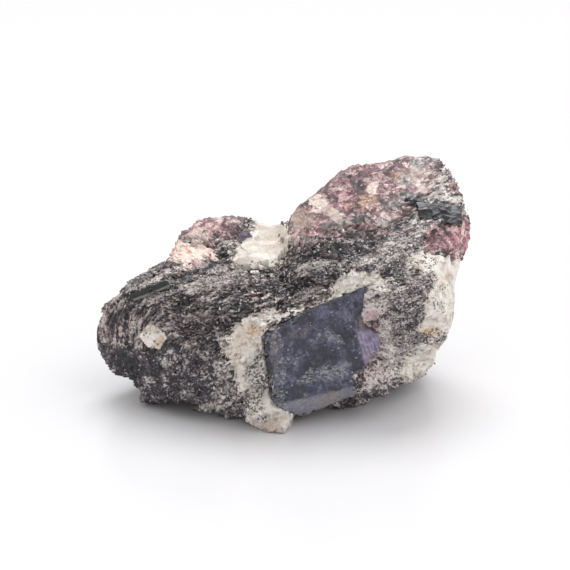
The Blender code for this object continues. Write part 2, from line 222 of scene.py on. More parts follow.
def brokenFacets(points, seed):
    # every point belongs to its nearest random seed; each seed carries a flat face of random tilt
    base = np.floor(points).astype(np.int64)
    nearest = np.full(len(points), 9.0)
    height, tone, way = np.zeros(len(points)), np.zeros(len(points)), np.zeros((len(points), 3))
    for step in np.ndindex(3, 3, 3):
        cell = base + np.array(step) - 1
        place = cell + np.stack([hashUnit(cell, seed + axis) for axis in range(3)], axis=1)
        offset = points - place
        distance = (offset**2).sum(axis=1)
        tilt = np.stack([hashUnit(cell, seed + 3 + axis) for axis in range(3)], axis=1) * 2.0 - 1.0
        closer = distance < nearest
        nearest = np.where(closer, distance, nearest)
        height = np.where(closer, (offset * tilt).sum(axis=1), height)
        tone = np.where(closer, hashUnit(cell, seed + 6), tone)
        way = np.where(closer[:, None], tilt, way)
    return {"height": height, "tone": tone, "way": way, "far": np.sqrt(nearest)}


def smoothStep(values, low, high):
    # 0 up to low, 1 from high on, and 3t^2 - 2t^3 between them
    part = np.clip((values - low) / (high - low), 0.0, 1.0)
    return part * part * (3.0 - 2.0 * part)


def unit(ways):
    return ways / np.linalg.norm(ways, axis=-1, keepdims=True)


def leaning(start, towards, degrees):
    return math.cos(math.radians(degrees)) * start + math.sin(math.radians(degrees)) * towards


def turned(bearing, turn):
    # the direction at this bearing in the front's plane, turned out of it towards the front
    return leaning(leaning(across, upward, bearing), frontward, turn)


def softReach(directions, faces, sharpness):
    # softened least of the distances to flat faces, each a normal n and its distance d: the sum of
    # (direction . n / d) to the power of sharpness, to the power of -1 / sharpness
    normals = np.array([normal for normal, _ in faces])
    distances = np.array([distance for _, distance in faces])
    nearness = np.maximum(directions @ normals.T / distances, 0.0)
    return (nearness**sharpness).sum(axis=1) ** (-1.0 / sharpness)


rockBlocks = [
    [(turned(bearing, turn), distance) for bearing, turn, distance in rockShape[name]]
    for name in ("body", "ridge", "mound", "knob")
]


def bareReach(directions):
    # greatest of the four blocks' distances from the heart
    return np.max([softReach(directions, faces, rockShape["edgeSharpness"]) for faces in rockBlocks], axis=0)


def frontPlace(points):
    # across, upward and frontward of the heart
    return (points - heart) @ frontAxes.T


def layerPlace(points):
    # where a point lies along, through and behind the folded layers. Right of the fold core they are planes
    # that climb; left of it they are rounds about it, depth = hypot(run, rise); a slow sine waves both
    x, w, v = frontPlace(points).T
    coreX, coreW = schistLayers["foldCore"]
    climb = schistLayers["climb"]
    waveHeight, waveAcross, waveBack = schistLayers["wave"]
    run = x - coreX
    rise = w - coreW - math.tan(climb) * np.maximum(run, 0.0) + schistLayers["dip"] * v
    rise = rise * math.cos(climb)
    depth = np.hypot(np.minimum(run, 0.0), rise) + waveHeight * np.sin(waveAcross * x + waveBack * v)
    bend = np.arctan2(np.maximum(-run, 0.0), np.abs(rise)) * np.maximum(depth, schistLayers["noseRadius"])
    along = np.maximum(run, 0.0) / math.cos(climb) - bend
    return np.stack((along, depth * np.where(rise < 0, -1.0, 1.0), v), axis=1)


def layerOverhang(points):
    # how far each layer stands out or lies back, by its depth in the fold; less in places, none at the right
    x, w, v = frontPlace(points).T
    depth = np.abs(layerPlace(points)[:, 1])
    edges, overhangs, start = [], [], 0.0
    for thickness, overhang in schistLayers["steps"]:
        edges += [start + schistLayers["edge"], start + thickness - schistLayers["edge"]]
        overhangs += [overhang, overhang]
        start += thickness
    fading = (0.7 + 0.3 * np.sin(0.22 * x + 0.45 * v + 0.8 * w)) / (1.0 + np.exp(x / 4 - 3))
    return fading * np.interp(depth % start, edges, overhangs, period=start)


def slowLumps(points):
    # three crossing sine waves, 15 to 23 mm long and 0.35 mm high
    x, y, z = (points - heart).T
    waves = (0.42 * x + 0.31 * z + 1.1, 0.37 * z - 0.29 * y + 2.0, 0.33 * y + 0.27 * x)
    return 0.35 * sum(np.sin(wave) for wave in waves)


def wornDepth(points):
    # each hollow is a bowl with a flat floor: depth * exp(-(x / half width)^4 - (w / half height)^4)
    x, w, v = frontPlace(points).T
    return sum(
        depth * np.exp(-(((x - middleX) / halfWidth) ** 4) - ((w - middleW) / halfHeight) ** 4) * (v > back)
        for middleX, middleW, halfWidth, halfHeight, depth, back in hollows
    )


def outlineDepth(points, outline, start):
    # distance to the outline seen from the front, positive inside it, and not deeper than its start
    x, w, v = frontPlace(points).T
    nearest, inside = np.full(len(points), 1e6), np.zeros(len(points), bool)
    for (ax, aw), (bx, bw) in zip(outline, outline[1:] + outline[:1]):
        dx, dw = bx - ax, bw - aw
        along = np.clip(((x - ax) * dx + (w - aw) * dw) / (dx**2 + dw**2), 0, 1)
        nearest = np.minimum(nearest, np.hypot(x - ax - along * dx, w - aw - along * dw))
        if dw:
            inside ^= ((aw > w) != (bw > w)) & (x < dx * (w - aw) / dw + ax)
    return np.minimum(np.where(inside, nearest, -nearest), v - start)


# Directions run round the rock's long axis: length from the left end (0) to the right end (pi), turn from the
# back underside (0) through the underside, the front and the top to the back (2 pi).
longStretch = 1.5
backUnder = -(frontward + upward) / math.sqrt(2.0)
frontUnder = (frontward - upward) / math.sqrt(2.0)


def directionsAt(length, turn):
    # towards the points of an ellipsoid that is longStretch times as long as it is wide
    around = np.cos(turn)[..., None] * backUnder + np.sin(turn)[..., None] * frontUnder
    return unit(-np.cos(length)[..., None] * across * longStretch + np.sin(length)[..., None] * around)


def standing(directions, reach, height=heart[2]):
    # nothing that starts at this height reaches below the surface the rock stands on
    down = np.maximum(-directions[:, 2], 1e-6)
    return np.minimum(reach, height / down)


print("fields ready")

lowCorner, highCorner = (np.array(corner) / mm for corner in packedBounds)
specimen = bpy.data.collections.new("ruby_in_schist")
bpy.context.scene.collection.children.link(specimen)


def heldIn(points, margin=1.0):
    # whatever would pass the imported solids' box is squeezed into its last millimetre; the base stays flat
    room = 0.98 * margin
    over = np.maximum(points - (highCorner - margin), 0.0)
    under = np.maximum(lowCorner + margin - points, 0.0) * (1.0, 1.0, 0.0)
    points = points - over + room * np.tanh(over / margin) + under - room * np.tanh(under / margin)
    return np.maximum(points, lowCorner)


def makePiece(name, points, quads, triangles, material, slot, nodes=(), attributes=None, smooth=True):
    # one closed mesh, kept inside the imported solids' box and turned outwards
    points = heldIn(points)
    quads = np.asarray(quads, np.int64).reshape(-1, 4)
    triangles = np.asarray(triangles, np.int64).reshape(-1, 3)
    halves = np.concatenate((triangles, quads[:, (0, 1, 2)], quads[:, (0, 2, 3)]))
    first, second, third = (points[halves[:, corner]] - points[0] for corner in range(3))
    if (first * np.cross(second, third)).sum() < 0:
        quads, triangles = quads[:, ::-1], triangles[:, ::-1]
    corners = np.concatenate((quads.ravel(), triangles.ravel())).astype(np.int32)
    sizes = np.concatenate((np.full(len(quads), 4), np.full(len(triangles), 3))).astype(np.int32)
    mesh = bpy.data.meshes.new(name)
    mesh.vertices.add(len(points))
    mesh.vertices.foreach_set("co", (points * mm).astype(np.float32).ravel())
    mesh.loops.add(len(corners))
    mesh.loops.foreach_set("vertex_index", corners)
    mesh.polygons.add(len(sizes))
    mesh.polygons.foreach_set("loop_start", np.concatenate(([0], np.cumsum(sizes)[:-1])).astype(np.int32))
    mesh.update(calc_edges=True)
    mesh.polygons.foreach_set("use_smooth", np.full(len(sizes), smooth))
    for attributeName, values in (attributes or {}).items():
        kind, field = ("FLOAT_VECTOR", "vector") if values.ndim == 2 else ("FLOAT", "value")
        layer = mesh.attributes.new(attributeName, kind, "POINT")
        layer.data.foreach_set(field, values.astype(np.float32).ravel())
    piece = bpy.data.objects.new(name, mesh)
    specimen.objects.link(piece)
    mesh.materials.append(material)
    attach(piece, "root")
    if nodes:
        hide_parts(*nodes)
    print(name, len(halves), "triangles")
    return piece


def closedGrid(rows, columns):
    # rows between two poles, joined round; the poles are the last two points
    index = np.arange(rows * columns).reshape(rows, columns)
    after = np.roll(index, -1, axis=1)
    quads = np.stack((index[:-1], index[1:], after[1:], after[:-1]), axis=-1).reshape(-1, 4)
    first, last = rows * columns, rows * columns + 1
    start = np.stack((np.full(columns, first), index[0], after[0]), axis=-1)
    end = np.stack((np.full(columns, last), after[-1], index[-1]), axis=-1)
    return quads, np.concatenate((start, end))


def closedSheet(wide, high, rings):
    # a sheet of wide by high points whose rim shrinks through rings to one last point at the back
    index = np.arange(wide * high).reshape(wide, high)
    quads = np.stack((index[:-1, :-1], index[1:, :-1], index[1:, 1:], index[:-1, 1:]), axis=-1).reshape(-1, 4)
    rim = np.concatenate((index[0], index[1:, -1], index[-1, -2::-1], index[-2:0:-1, 0]))
    loops = [rim] + [wide * high + ring * len(rim) + np.arange(len(rim)) for ring in range(rings)]
    for outer, inner in zip(loops, loops[1:]):
        band = np.stack((outer, np.roll(outer, -1), np.roll(inner, -1), inner), axis=-1)
        quads = np.concatenate((quads, band))
    back = np.full(len(rim), wide * high + rings * len(rim))
    return rim, quads, np.stack((loops[-1], np.roll(loops[-1], -1), back), axis=-1)


def faceFrame(middle):
    # the middle direction, a level one to its side and one up from it
    side = unit(np.cross((0.0, 0.0, 1.0), middle))
    return np.array((middle, side, np.cross(middle, side)))


def windowDirections(axes, angles):
    # each direction leans from the middle by two angles a and b: middle + tan(a) * side + tan(b) * up
    tangents = np.tan(angles)
    return unit(axes[0] + tangents[:, :1] * axes[1] + tangents[:, 1:] * axes[2])


def sheetAngles(window, grid):
    # angles over a window (lowest and highest of both), on a grid
    steps = [np.linspace(low, high, count) for (low, high), count in zip(window, grid)]
    return np.stack(np.meshgrid(*steps, indexing="ij"), axis=-1).reshape(-1, 2)


# slabs, chips and flakes: size along, through and behind the layers, lean and ledge; lumps, crumbs and
# lamination: size and height.
schistLook = {
    "grid": (352, 272), "frontDensity": 0.45, "densityShift": 0.15 * math.pi,
    "slabs": ((5.5, 1.5, 4.0), 0.5, 0.9), "chips": ((2.4, 0.8, 2.0), 0.4, 0.6),
    "flakes": ((0.75, 0.45, 0.7), 0.16, 0.24), "lumps": (1.7, 0.5), "crumbs": (0.8, 0.3),
    "lamination": ((6.0, 0.6, 6.0), 0.12), "sunkUnderMinerals": 0.9, "sunkUnderRuby": 2.6,
}
# Places on the front: (across, upward, half width, half height, turn in degrees, strength).
schistSpots = {
    "salt": (
        (22.0, 4.0, 6.0, 6.5, 0, 0.45), (24.5, -3.0, 6.0, 6.0, 0, 0.5), (17.0, -11.5, 5.5, 4.6, 25, 0.8),
        (24.0, 12.0, 6.0, 4.5, 0, 0.7), (-8.5, -14.0, 4.6, 5.0, -20, 0.4), (29.0, -8.0, 6.0, 5.0, 30, 0.8),
        (14.0, 9.5, 5.0, 1.6, 8, 0.5),
    ),
    "pale": (
        (-15.5, 5.0, 4.0, 1.2, 18, 1.15), (-13.2, 5.6, 2.6, 1.5, 15, 1.15), (-9.6, 6.8, 2.8, 1.1, 18, 1.3),
        (-12.3, 8.0, 1.9, 0.8, 15, 1.4), (-26.0, 1.7, 1.6, 0.6, 10, 1.2), (-24.6, 2.7, 3.6, 0.35, 14, 1.0),
        (-26.6, 5.4, 4.4, 0.4, 24, 0.8), (-32.0, 1.0, 1.8, 0.9, 25, 0.5), (-28.8, -3.3, 1.0, 1.3, 0, 0.6),
        (-32.1, -5.0, 0.5, 2.2, 5, 0.7), (-23.4, -10.1, 1.8, 0.8, -40, 0.8), (-21.9, -8.2, 0.7, 0.4, 0, 0.9),
        (-18.2, -1.0, 0.8, 0.4, 20, 1.0), (-13.0, -18.6, 2.8, 0.7, 8, 0.8), (-11.9, -11.0, 1.6, 1.1, 0, 0.5),
        (17.6, 0.6, 1.9, 3.0, 8, 0.8), (20.4, -6.0, 1.3, 3.4, 8, 0.9), (6.5, 8.8, 2.6, 0.5, 12, 0.7),
        # (27.0, -9.5) and (21.5, -11.5) are pale grains and also painted light: they lighten the lower right,
        # which lies in shade
        (12.7, 13.7, 2.2, 0.5, -10, 0.9), (16.0, 9.6, 2.0, 0.6, 15, 0.6), (27.0, -9.5, 5.0, 2.4, 30, 0.7),
        (-17.0, 9.0, 3.2, 1.0, 12, 1.0), (29.5, -12.5, 5.0, 0.7, 33, 0.8), (32.0, 26.5, 3.4, 4.2, 0, 0.45),
        (21.5, -11.5, 6.0, 3.0, 32, 0.4), (34.5, 22.3, 2.0, 0.7, 0, 0.8), (5.0, 3.6, 3.6, 0.9, 24, 0.45),
        (8.0, 13.6, 4.5, 0.3, -3, 0.9), (15.5, 12.8, 2.6, 0.25, -14, 0.8), (2.0, 10.2, 3.0, 0.3, 22, 0.6),
    ),
    "dark": (
        (10.5, 11.8, 7.5, 1.5, 8, 1.25), (-13.0, 9.6, 2.6, 1.6, 30, 0.9), (-24.0, 4.4, 3.5, 0.8, 15, 0.7),
        (-17.0, -10.4, 1.9, 1.0, 0, 1.0), (21.5, 7.0, 1.8, 1.4, 0, 0.9), (-28.0, -11.5, 7.0, 3.0, 20, 0.8),
        (-20.5, -16.5, 7.0, 3.0, 10, 0.45), (24.3, 20.0, 3.0, 1.2, 5, 1.0), (-19.0, 7.0, 3.2, 0.7, 15, 0.7),
        (2.0, 4.8, 6.0, 1.4, 15, 0.4), (12.5, 5.8, 4.0, 0.9, 8, 0.5), (-33.0, -10.0, 2.4, 1.6, 0, 0.7),
        (-30.0, 0.0, 2.6, 0.8, 40, 0.5), (-12.0, 0.5, 4.0, 1.2, 18, 0.35), (-8.0, -6.0, 2.0, 1.0, 0, 0.5),
    ),
    "mauve": (
        (18.0, 16.0, 3.0, 1.8, 0, 0.9), (17.4, -2.4, 1.5, 2.0, 0, 0.7), (-5.0, 3.0, 1.9, 0.9, 20, 0.6),
        (-34.0, -2.0, 3.0, 5.0, 0, 0.35), (24.0, 15.5, 2.5, 1.0, 20, 0.5), (-9.4, 6.4, 2.4, 1.0, 15, 0.5),
        (-16.8, 9.0, 2.6, 0.8, 10, 0.6), (17.5, -11.0, 3.6, 3.0, 20, 0.3), (35.5, 25.0, 1.6, 1.6, 0, 0.9),
        (10.0, 14.2, 4.0, 0.8, 5, 0.6),
    ),
}


def blotches(points, spots, rag=0.45):
    # greatest of soft ellipses with wandering edges, on the front only
    x, w, v = frontPlace(points).T
    wander = rag * roughNoise(points / 1.6, 91)
    strength = np.zeros(len(points))
    for middleX, middleW, halfWidth, halfHeight, turn, most in spots:
        cosine, sine = math.cos(math.radians(turn)), math.sin(math.radians(turn))
        dx, dw = x - middleX, w - middleW
        distance = np.hypot((dx * cosine + dw * sine) / halfWidth, (dw * cosine - dx * sine) / halfHeight)
        strength = np.maximum(strength, most * smoothStep(1.25 - distance + wander, 0.0, 0.5))
    return strength * smoothStep(v, -14.0, -9.0)


def mineralCover(points):
    # how surely another mineral lies over the schist here
    depths = [outlineDepth(points, patch["outline"], patch["start"]) for patch in patches.values()]
    return smoothStep(np.max(depths, axis=0), -0.2, 0.9)


def rubyCover(points):
    # how far inside the ruby's outline, seen from the front: least of the distances to its steep side faces
    steepest = 25
    place = frontPlace(points) @ frontAxes
    sides = [face for face in rubyFaces if abs(face[1]) < steepest]
    return -np.max([place @ turned(bearing, turn) - distance for bearing, turn, distance in sides], axis=0)


# Schist that laps over the ruby's lower right corner, on the front, and how far it stands up to do so.
lap = {
    "outline": (
        (12.6, -11.0), (14.8, -8.6), (17.4, -7.8), (20.5, -6.6), (20.0, -13.0), (18.0, -15.0), (16.0, -15.0),
        (13.0, -15.0), (12.2, -13.0),
    ),
    "height": 3.0, "rag": 0.9,
}


def lapShare(points):
    # 1 where the schist laps over the ruby, with an edge broken along grains
    grains = brokenFacets(points / 0.9, 821)
    inside = outlineDepth(points + lap["rag"] * grains["way"], lap["outline"], 0.0)
    return smoothStep(inside, -0.3, 0.3)


# The bed under the ruby's lower side, between left and right, starts at depth towards the underside.
rubyBed = {"underside": (281, -20), "depth": (15.4, 16.6), "left": (0.5, 2.5), "right": 18.5}


def sinkForRuby(points):
    # 1 where the ruby lies in front or underneath, 0 away from it
    place = frontPlace(points)
    x, v = place[:, 0], place[:, 2]
    below = smoothStep(place @ (frontAxes @ turned(*rubyBed["underside"])), *rubyBed["depth"])
    below = below * smoothStep(x, *rubyBed["left"]) * smoothStep(rubyBed["right"] - x, 0.0, 2.0)
    below = below * smoothStep(v, 0.0, 4.0)
    inside = rubyCover(points) + 0.5 * smoothStep(x, 12.0, 15.0)
    return np.maximum(smoothStep(inside, -0.05, 0.75) * (v > 0), below) * (1.0 - lapShare(points))


def schistReach(directions):
    # distance to the skin that every mineral grows from
    reach = bareReach(directions)
    points = heart + directions * reach[:, None]
    reach = reach + layerOverhang(points) + slowLumps(points) - wornDepth(points)
    return standing(directions, reach)


def granularShare(points):
    # 1 where the schist is a jumble of grains: in its salty parts and low down; 0 where its layers show
    low = smoothStep(1.5 * roughNoise(points / 4.0, 81) - frontPlace(points)[:, 1], 5.0, 8.5)
    return np.maximum(blotches(points, schistSpots["salt"]), low)


def schistSurface(directions):
    # the skin, and on it slabs, chips and flakes that follow the layers, or lumps and crumbs that don't; it
    # is sunk under the other minerals and the ruby
    reach = schistReach(directions)
    points = heart + directions * reach[:, None]
    layers = layerPlace(points)
    cover = mineralCover(points)
    granular = granularShare(points)
    relief = np.zeros(len(points))
    for seed, part in ((11, "slabs"), (21, "chips"), (31, "flakes")):
        # each broken slab leans its own way and stands out or lies back by its own amount
        size, lean, ledge = schistLook[part]
        wander = 0.35 * np.stack([softNoise(points / 1.3, seed + 5 + axis) for axis in range(3)], axis=1)
        cells = brokenFacets(layers / size + wander, seed)
        relief += (lean * cells["height"] + ledge * (cells["tone"] - 0.5)) * (1.0 - 0.55 * granular)
    for seed, part in ((61, "lumps"), (71, "crumbs")):
        size, height = schistLook[part]
        cells = brokenFacets(points / size, seed)
        relief += height * granular * (cells["height"] + cells["tone"] - 0.5)
    size, height = schistLook["lamination"]
    relief += height * roughNoise(layers / size, 51) * (1.0 - granular)
    reach = reach + relief * (1.0 - 0.5 * cover) - schistLook["sunkUnderMinerals"] * cover
    reach = reach - schistLook["sunkUnderRuby"] * sinkForRuby(points) + lap["height"] * lapShare(points)
    return heart + directions * standing(directions, reach)[:, None], cover


def paintRock(points):
    # what the schist's material needs to know at each point; behind, salt and pale follow a slow noise
    freckles = roughNoise(points / 5.0, 71)
    behind = 1.0 - smoothStep(frontPlace(points)[:, 2], -4.0, 4.0)
    painted = {name: blotches(points, spots) for name, spots in schistSpots.items()}
    painted["salt"] = np.maximum(painted["salt"], behind * smoothStep(freckles, 0.1, 0.7))
    painted["pale"] = np.maximum(painted["pale"], behind * smoothStep(-freckles, 0.75, 1.1))
    return {"layerSpace": layerPlace(points), "granular": granularShare(points), **painted}


def crowdedForward(turn):
    # turns round the rock's long axis, moved closer together on the front: t + density * sin(t + shift)
    return turn + schistLook["frontDensity"] * np.sin(turn + schistLook["densityShift"])


def buildSchist(material):
    # rings of points round the long axis, closer together on the front
    rows, columns = schistLook["grid"]
    lengths = np.linspace(0.0, math.pi, rows + 2)[1:-1]
    spin = np.arange(columns) * 2.0 * math.pi / columns
    length, turn = np.meshgrid(lengths, crowdedForward(spin), indexing="ij")
    directions = directionsAt(length, turn).reshape(-1, 3)
    directions = np.concatenate((directions, (-across, across)))
    points, _ = schistSurface(directions)
    sheet = points, *closedGrid(rows, columns)
    makePiece("mica_schist_rock", *sheet, material, "schist", ("mica_schist",), paintRock(points))


# Spots on the crusts and feldspars, given like the schist's, and how ragged their edges are.
mineralRag = {"cream": 0.8, "rust": 0.8, "specks": 0.45, "grey": 0.45, "crimson": 0.45}
mineralSpots = {
    "cream": (
        (7.4, 21.2, 1.4, 1.4, 20, 1.0), (10.2, 18.9, 1.2, 0.7, -30, 0.7), (18.0, 24.4, 1.4, 0.8, 20, 1.0),
        (30.0, 24.6, 3.0, 2.4, 0, 0.7), (-17.8, 13.8, 3.0, 1.9, 20, 0.6), (-15.4, 14.6, 1.0, 1.4, -20, 0.5),
        (-12.8, 18.0, 0.9, 0.4, 30, 0.8), (26.5, 17.5, 2.0, 1.0, 0, 0.6), (21.5, 18.5, 1.4, 0.8, 0, 0.7),
        (6.0, 13.9, 3.6, 0.7, 8, 0.6), (3.6, 16.6, 3.0, 2.2, 45, 0.35), (28.8, 28.0, 2.0, 1.2, 0, 0.5),
        (-20.5, 12.2, 1.2, 1.2, 0, 0.8),
    ),
    "rust": (
        (16.4, 21.6, 2.4, 1.3, 0, 0.8), (22.6, 27.0, 1.2, 0.8, 0, 0.7), (3.6, 18.6, 2.0, 1.6, 50, 0.4),
        (-5.6, -3.6, 1.1, 1.4, 0, 1.0), (-23.8, -6.4, 1.1, 1.2, 0, 0.7), (-8.2, -6.8, 1.9, 4.2, -8, 0.28),
        (29.6, -4.3, 2.6, 0.7, 10, 1.0), (-1.0, -22.0, 2.4, 1.2, 10, 0.4), (1.6, -22.9, 0.5, 0.5, 0, 1.0),
        (-4.5, 4.2, 1.4, 0.8, 0, 0.35), (32.6, 6.6, 0.5, 1.4, -10, 0.9), (20.5, 3.2, 1.2, 0.4, 10, 0.5),
        (0.4, 10.8, 0.9, 0.4, -30, 0.7), (-2.0, 15.5, 3.0, 4.0, 0, 0.2), (21.5, 31.0, 1.6, 1.4, 0, 0.5),
    ),
    "specks": (
        (28.0, 9.7, 2.4, 1.4, 0, 0.8), (28.3, 6.2, 2.2, 1.6, 0, 0.8), (31.0, 1.0, 2.0, 1.4, 0, 0.5),
        (-4.4, -12.5, 2.4, 3.6, 10, 0.9), (-5.6, -18.0, 2.0, 2.2, 0, 0.95), (30.0, -5.0, 3.0, 1.2, 20, 0.9),
        (-10.6, -4.5, 0.8, 3.0, 0, 0.5), (5.8, 2.6, 4.4, 1.5, 22, 1.0), (-2.5, -3.0, 0.9, 1.8, 0, 0.8),
        (-3.8, -20.6, 1.2, 1.0, 0, 0.8), (-3.5, 9.3, 4.0, 0.7, 5, 0.4), (17.0, 4.2, 3.0, 0.8, 0, 0.7),
        (31.5, 4.8, 1.2, 1.0, 0, 0.8), (-9.0, -9.0, 1.5, 1.0, 0, 0.5),
    ),
    "grey": (
        (-1.5, -22.0, 4.0, 3.0, 0, 0.45), (-5.2, -13.0, 2.4, 4.6, 5, 0.8), (0.5, -0.2, 3.5, 0.8, 25, 0.6),
        (21.6, 21.2, 1.6, 1.2, 0, 0.8), (25.2, 26.0, 1.8, 1.4, 0, 0.7), (9.8, 16.8, 2.5, 0.7, 10, 0.8),
        (15.0, 17.8, 3.0, 0.8, 10, 0.8), (28.5, 31.0, 3.0, 2.4, 0, 0.8), (-4.0, 14.0, 7.0, 8.0, 0, 0.35),
        (26.0, 22.8, 2.8, 1.2, 0, 1.0), (5.8, 2.6, 4.4, 1.5, 22, 0.7), (-10.0, -12.0, 1.8, 2.0, 0, 0.7),
        (20.5, 17.0, 3.0, 1.2, 0, 0.6), (33.0, 6.5, 1.0, 1.4, 0, 0.5), (15.5, 6.4, 5.5, 2.2, 0, 0.4),
    ),
    "crimson": (
        (35.5, 14.0, 3.5, 3.5, 0, 0.85), (29.5, 13.0, 2.0, 2.0, 0, 0.5), (33.6, 24.6, 1.4, 1.1, 0, 1.0),
        (-13.0, 16.8, 2.4, 2.0, 0, 0.45), (12.6, 22.0, 1.6, 1.8, 0, 0.6), (4.4, 14.6, 3.4, 2.6, 40, 0.6),
        (-18.0, 17.6, 2.4, 1.8, 30, 0.5), (17.0, 30.0, 4.0, 2.4, 0, 0.3),
    ),
}


def patchWindow(patch):
    # the middle direction of the patch and the angles that its outline fills, with a margin: it holds the
    # directions that meet the skin inside the outline, or up to 1.3 mm outside it
    samples, margin = (260, 320), 0.02
    steps = np.linspace(margin, math.pi - margin, samples[0]), np.linspace(0, 2 * math.pi, samples[1])
    length, turn = np.meshgrid(*steps, indexing="ij")
    directions = directionsAt(length, turn).reshape(-1, 3)
    points = heart + directions * schistReach(directions)[:, None]
    held = directions[(outlineDepth(points, patch["outline"], patch["start"]) > -1.3) & (points[:, 2] > 0.3)]
    axes = faceFrame(unit(held.mean(axis=0)))
    leans = held @ axes.T
    angles = np.arctan2(leans[:, 1:], leans[:, :1])
    return axes, np.stack((angles.min(axis=0) - margin, angles.max(axis=0) + margin), axis=1)


def brokenEdge(points, patch, seed):
    # depth inside the outline, which every grain moves its own way, so that the edge follows grain borders; a
    # patch ends 0.15 mm under the ruby
    coarse = brokenFacets(points / 1.7, seed + 40)
    fine = brokenFacets(points / 0.75, seed + 50)
    moved = points + patch["rag"] * (0.65 * coarse["way"] + 0.35 * fine["way"])
    edge = outlineDepth(moved, patch["outline"], patch["start"]) + 0.5 * patch["rag"] * (fine["tone"] - 0.5)
    return np.minimum(edge, -rubyCover(points) + 0.15 + 1e3 * (frontPlace(points)[:, 2] < 0))


def patchReach(directions, patch, seed):
    # the schist's skin, raised by swell well inside the outline and sunk outside it
    reach = schistReach(directions)
    points = heart + directions * reach[:, None]
    facets = brokenFacets(points / patch["facets"], seed)
    fine = brokenFacets(points / (patch["facets"] * 0.42), seed + 20)
    inside = smoothStep(brokenEdge(points, patch, seed), -0.25, 0.3)
    lift = inside * (patch["swell"] + patchSink) - patchSink - patchUnderRuby * sinkForRuby(points)
    relief = facets["height"] + 0.5 * facets["tone"] + 0.45 * (1.0 - patch["waxy"]) * fine["height"]
    relief = relief * patch["relief"]
    if patch["pebble"]:
        # rounded lumps 2.6 mm across, and ones half as high and 1.3 mm across
        for size, height, step in ((2.6, patch["pebble"], 60), (1.3, 0.5 * patch["pebble"], 70)):
            relief = relief + height * (0.6 - brokenFacets(points / size, seed + step)["far"])
    return standing(directions, reach + lift + relief * inside)


def buildPatch(name, patch, material, seed):
    # a sheet of directions over the patch, and behind it rings that shrink under the skin to one point
    axes, window = patchWindow(patch)
    angles = sheetAngles(window, patch["grid"])
    directions = windowDirections(axes, angles)
    sheets = [heart + directions * patchReach(directions, patch, seed)[:, None]]
    backRings = ((0.97, 1.2), (0.9, 2.2), (0.7, 3.0), (0.35, 3.2), (0.0, 3.3))  # share of the window, depth
    rim, quads, triangles = closedSheet(*patch["grid"], len(backRings) - 1)
    middle = window.mean(axis=1)
    for share, depth in backRings:
        ring = angles[rim] if share else angles[rim[:1]]
        directions = windowDirections(axes, middle + share * (ring - middle))
        sheets.append(heart + directions * (schistReach(directions) - depth)[:, None])
    points = np.concatenate(sheets)
    kinds = patchPaint[patch["slot"]]
    painted = {kind: blotches(points, mineralSpots[kind], mineralRag[kind]) for kind in kinds}
    if patch["freckles"]:
        nearEdge = smoothStep(-outlineDepth(points, patch["outline"], patch["start"]), -1.1, 0.6)
        specks = blotches(points, mineralSpots["specks"], mineralRag["specks"])
        painted["specks"] = np.maximum(specks, patch["freckles"] * nearEdge)
        painted["waxy"] = np.full(len(points), patch["waxy"])
    makePiece(name + "_surface", points, quads, triangles, material, patch["slot"], (name,), painted)


def crystalSheet(centre, facing, spread, grid, reachOf):
    # the crystal's shown side on a window of directions from its centre, closed by lines to a back point
    angles = sheetAngles(((-spread, spread), (-spread, spread)), grid)
    directions = windowDirections(faceFrame(facing), angles)
    points = centre + directions * reachOf(directions)[:, None]
    rim, quads, triangles = closedSheet(*grid, 2)
    back = centre - facing * 2.0
    rings = [back + (points[rim] - back) * share for share in (0.7, 0.3)]
    return np.concatenate((points, *rings, back[None])), quads, triangles


# stripes: width, length and depth of the growth stripes; steps to chipped: height of each kind of relief.
rubyCrystal = {
    "centre": (6.5, -8.0, 7.0), "sharpness": 90.0, "grid": (300, 300), "spread": math.radians(83),
    "stripes": (0.55, 7.0, 3.0), "stripeTurn": math.radians(21), "steps": 0.015, "worn": 0.1, "pits": 0.16,
    "chips": 0.0875, "scallops": 0.175, "chipped": 0.7,
}
rubyCentre = heart + np.array(rubyCrystal["centre"]) @ frontAxes
rubySpots = {
    "brown": (
        (9.4, -17.0, 3.4, 1.4, 8, 1.0), (15.6, -2.2, 0.7, 1.4, 0, 0.9), (-1.4, -7.5, 1.2, 3.0, 0, 0.35),
        (3.4, -4.0, 3.6, 1.2, 20, 0.3), (7.0, -9.0, 0.8, 0.6, 0, 0.3),
    ),
    "worn": (
        (8.5, -12.0, 4.5, 1.4, 8, 1.0), (-0.5, -11.5, 1.5, 3.0, 0, 0.7), (10.2, -5.2, 2.2, 1.0, -35, 0.8),
        (10.0, -18.6, 7.5, 1.8, 8, 0.9), (-1.6, -16.4, 1.5, 2.0, -40, 0.9), (4.6, -16.2, 1.2, 0.8, 0, 0.8),
        (-1.6, -5.6, 1.6, 2.6, 0, 0.6), (12.5, -11.0, 1.2, 1.6, -20, 0.6), (4.5, -13.5, 1.6, 0.9, 0, 0.6),
    ),
}


def prismPlace(points):
    # where a point lies across the ruby's stripes, along them and frontward
    x, w, v = frontPlace(points).T
    cosine, sine = math.cos(rubyCrystal["stripeTurn"]), math.sin(rubyCrystal["stripeTurn"])
    return np.stack((x * cosine + w * sine, w * cosine - x * sine, v), axis=1)


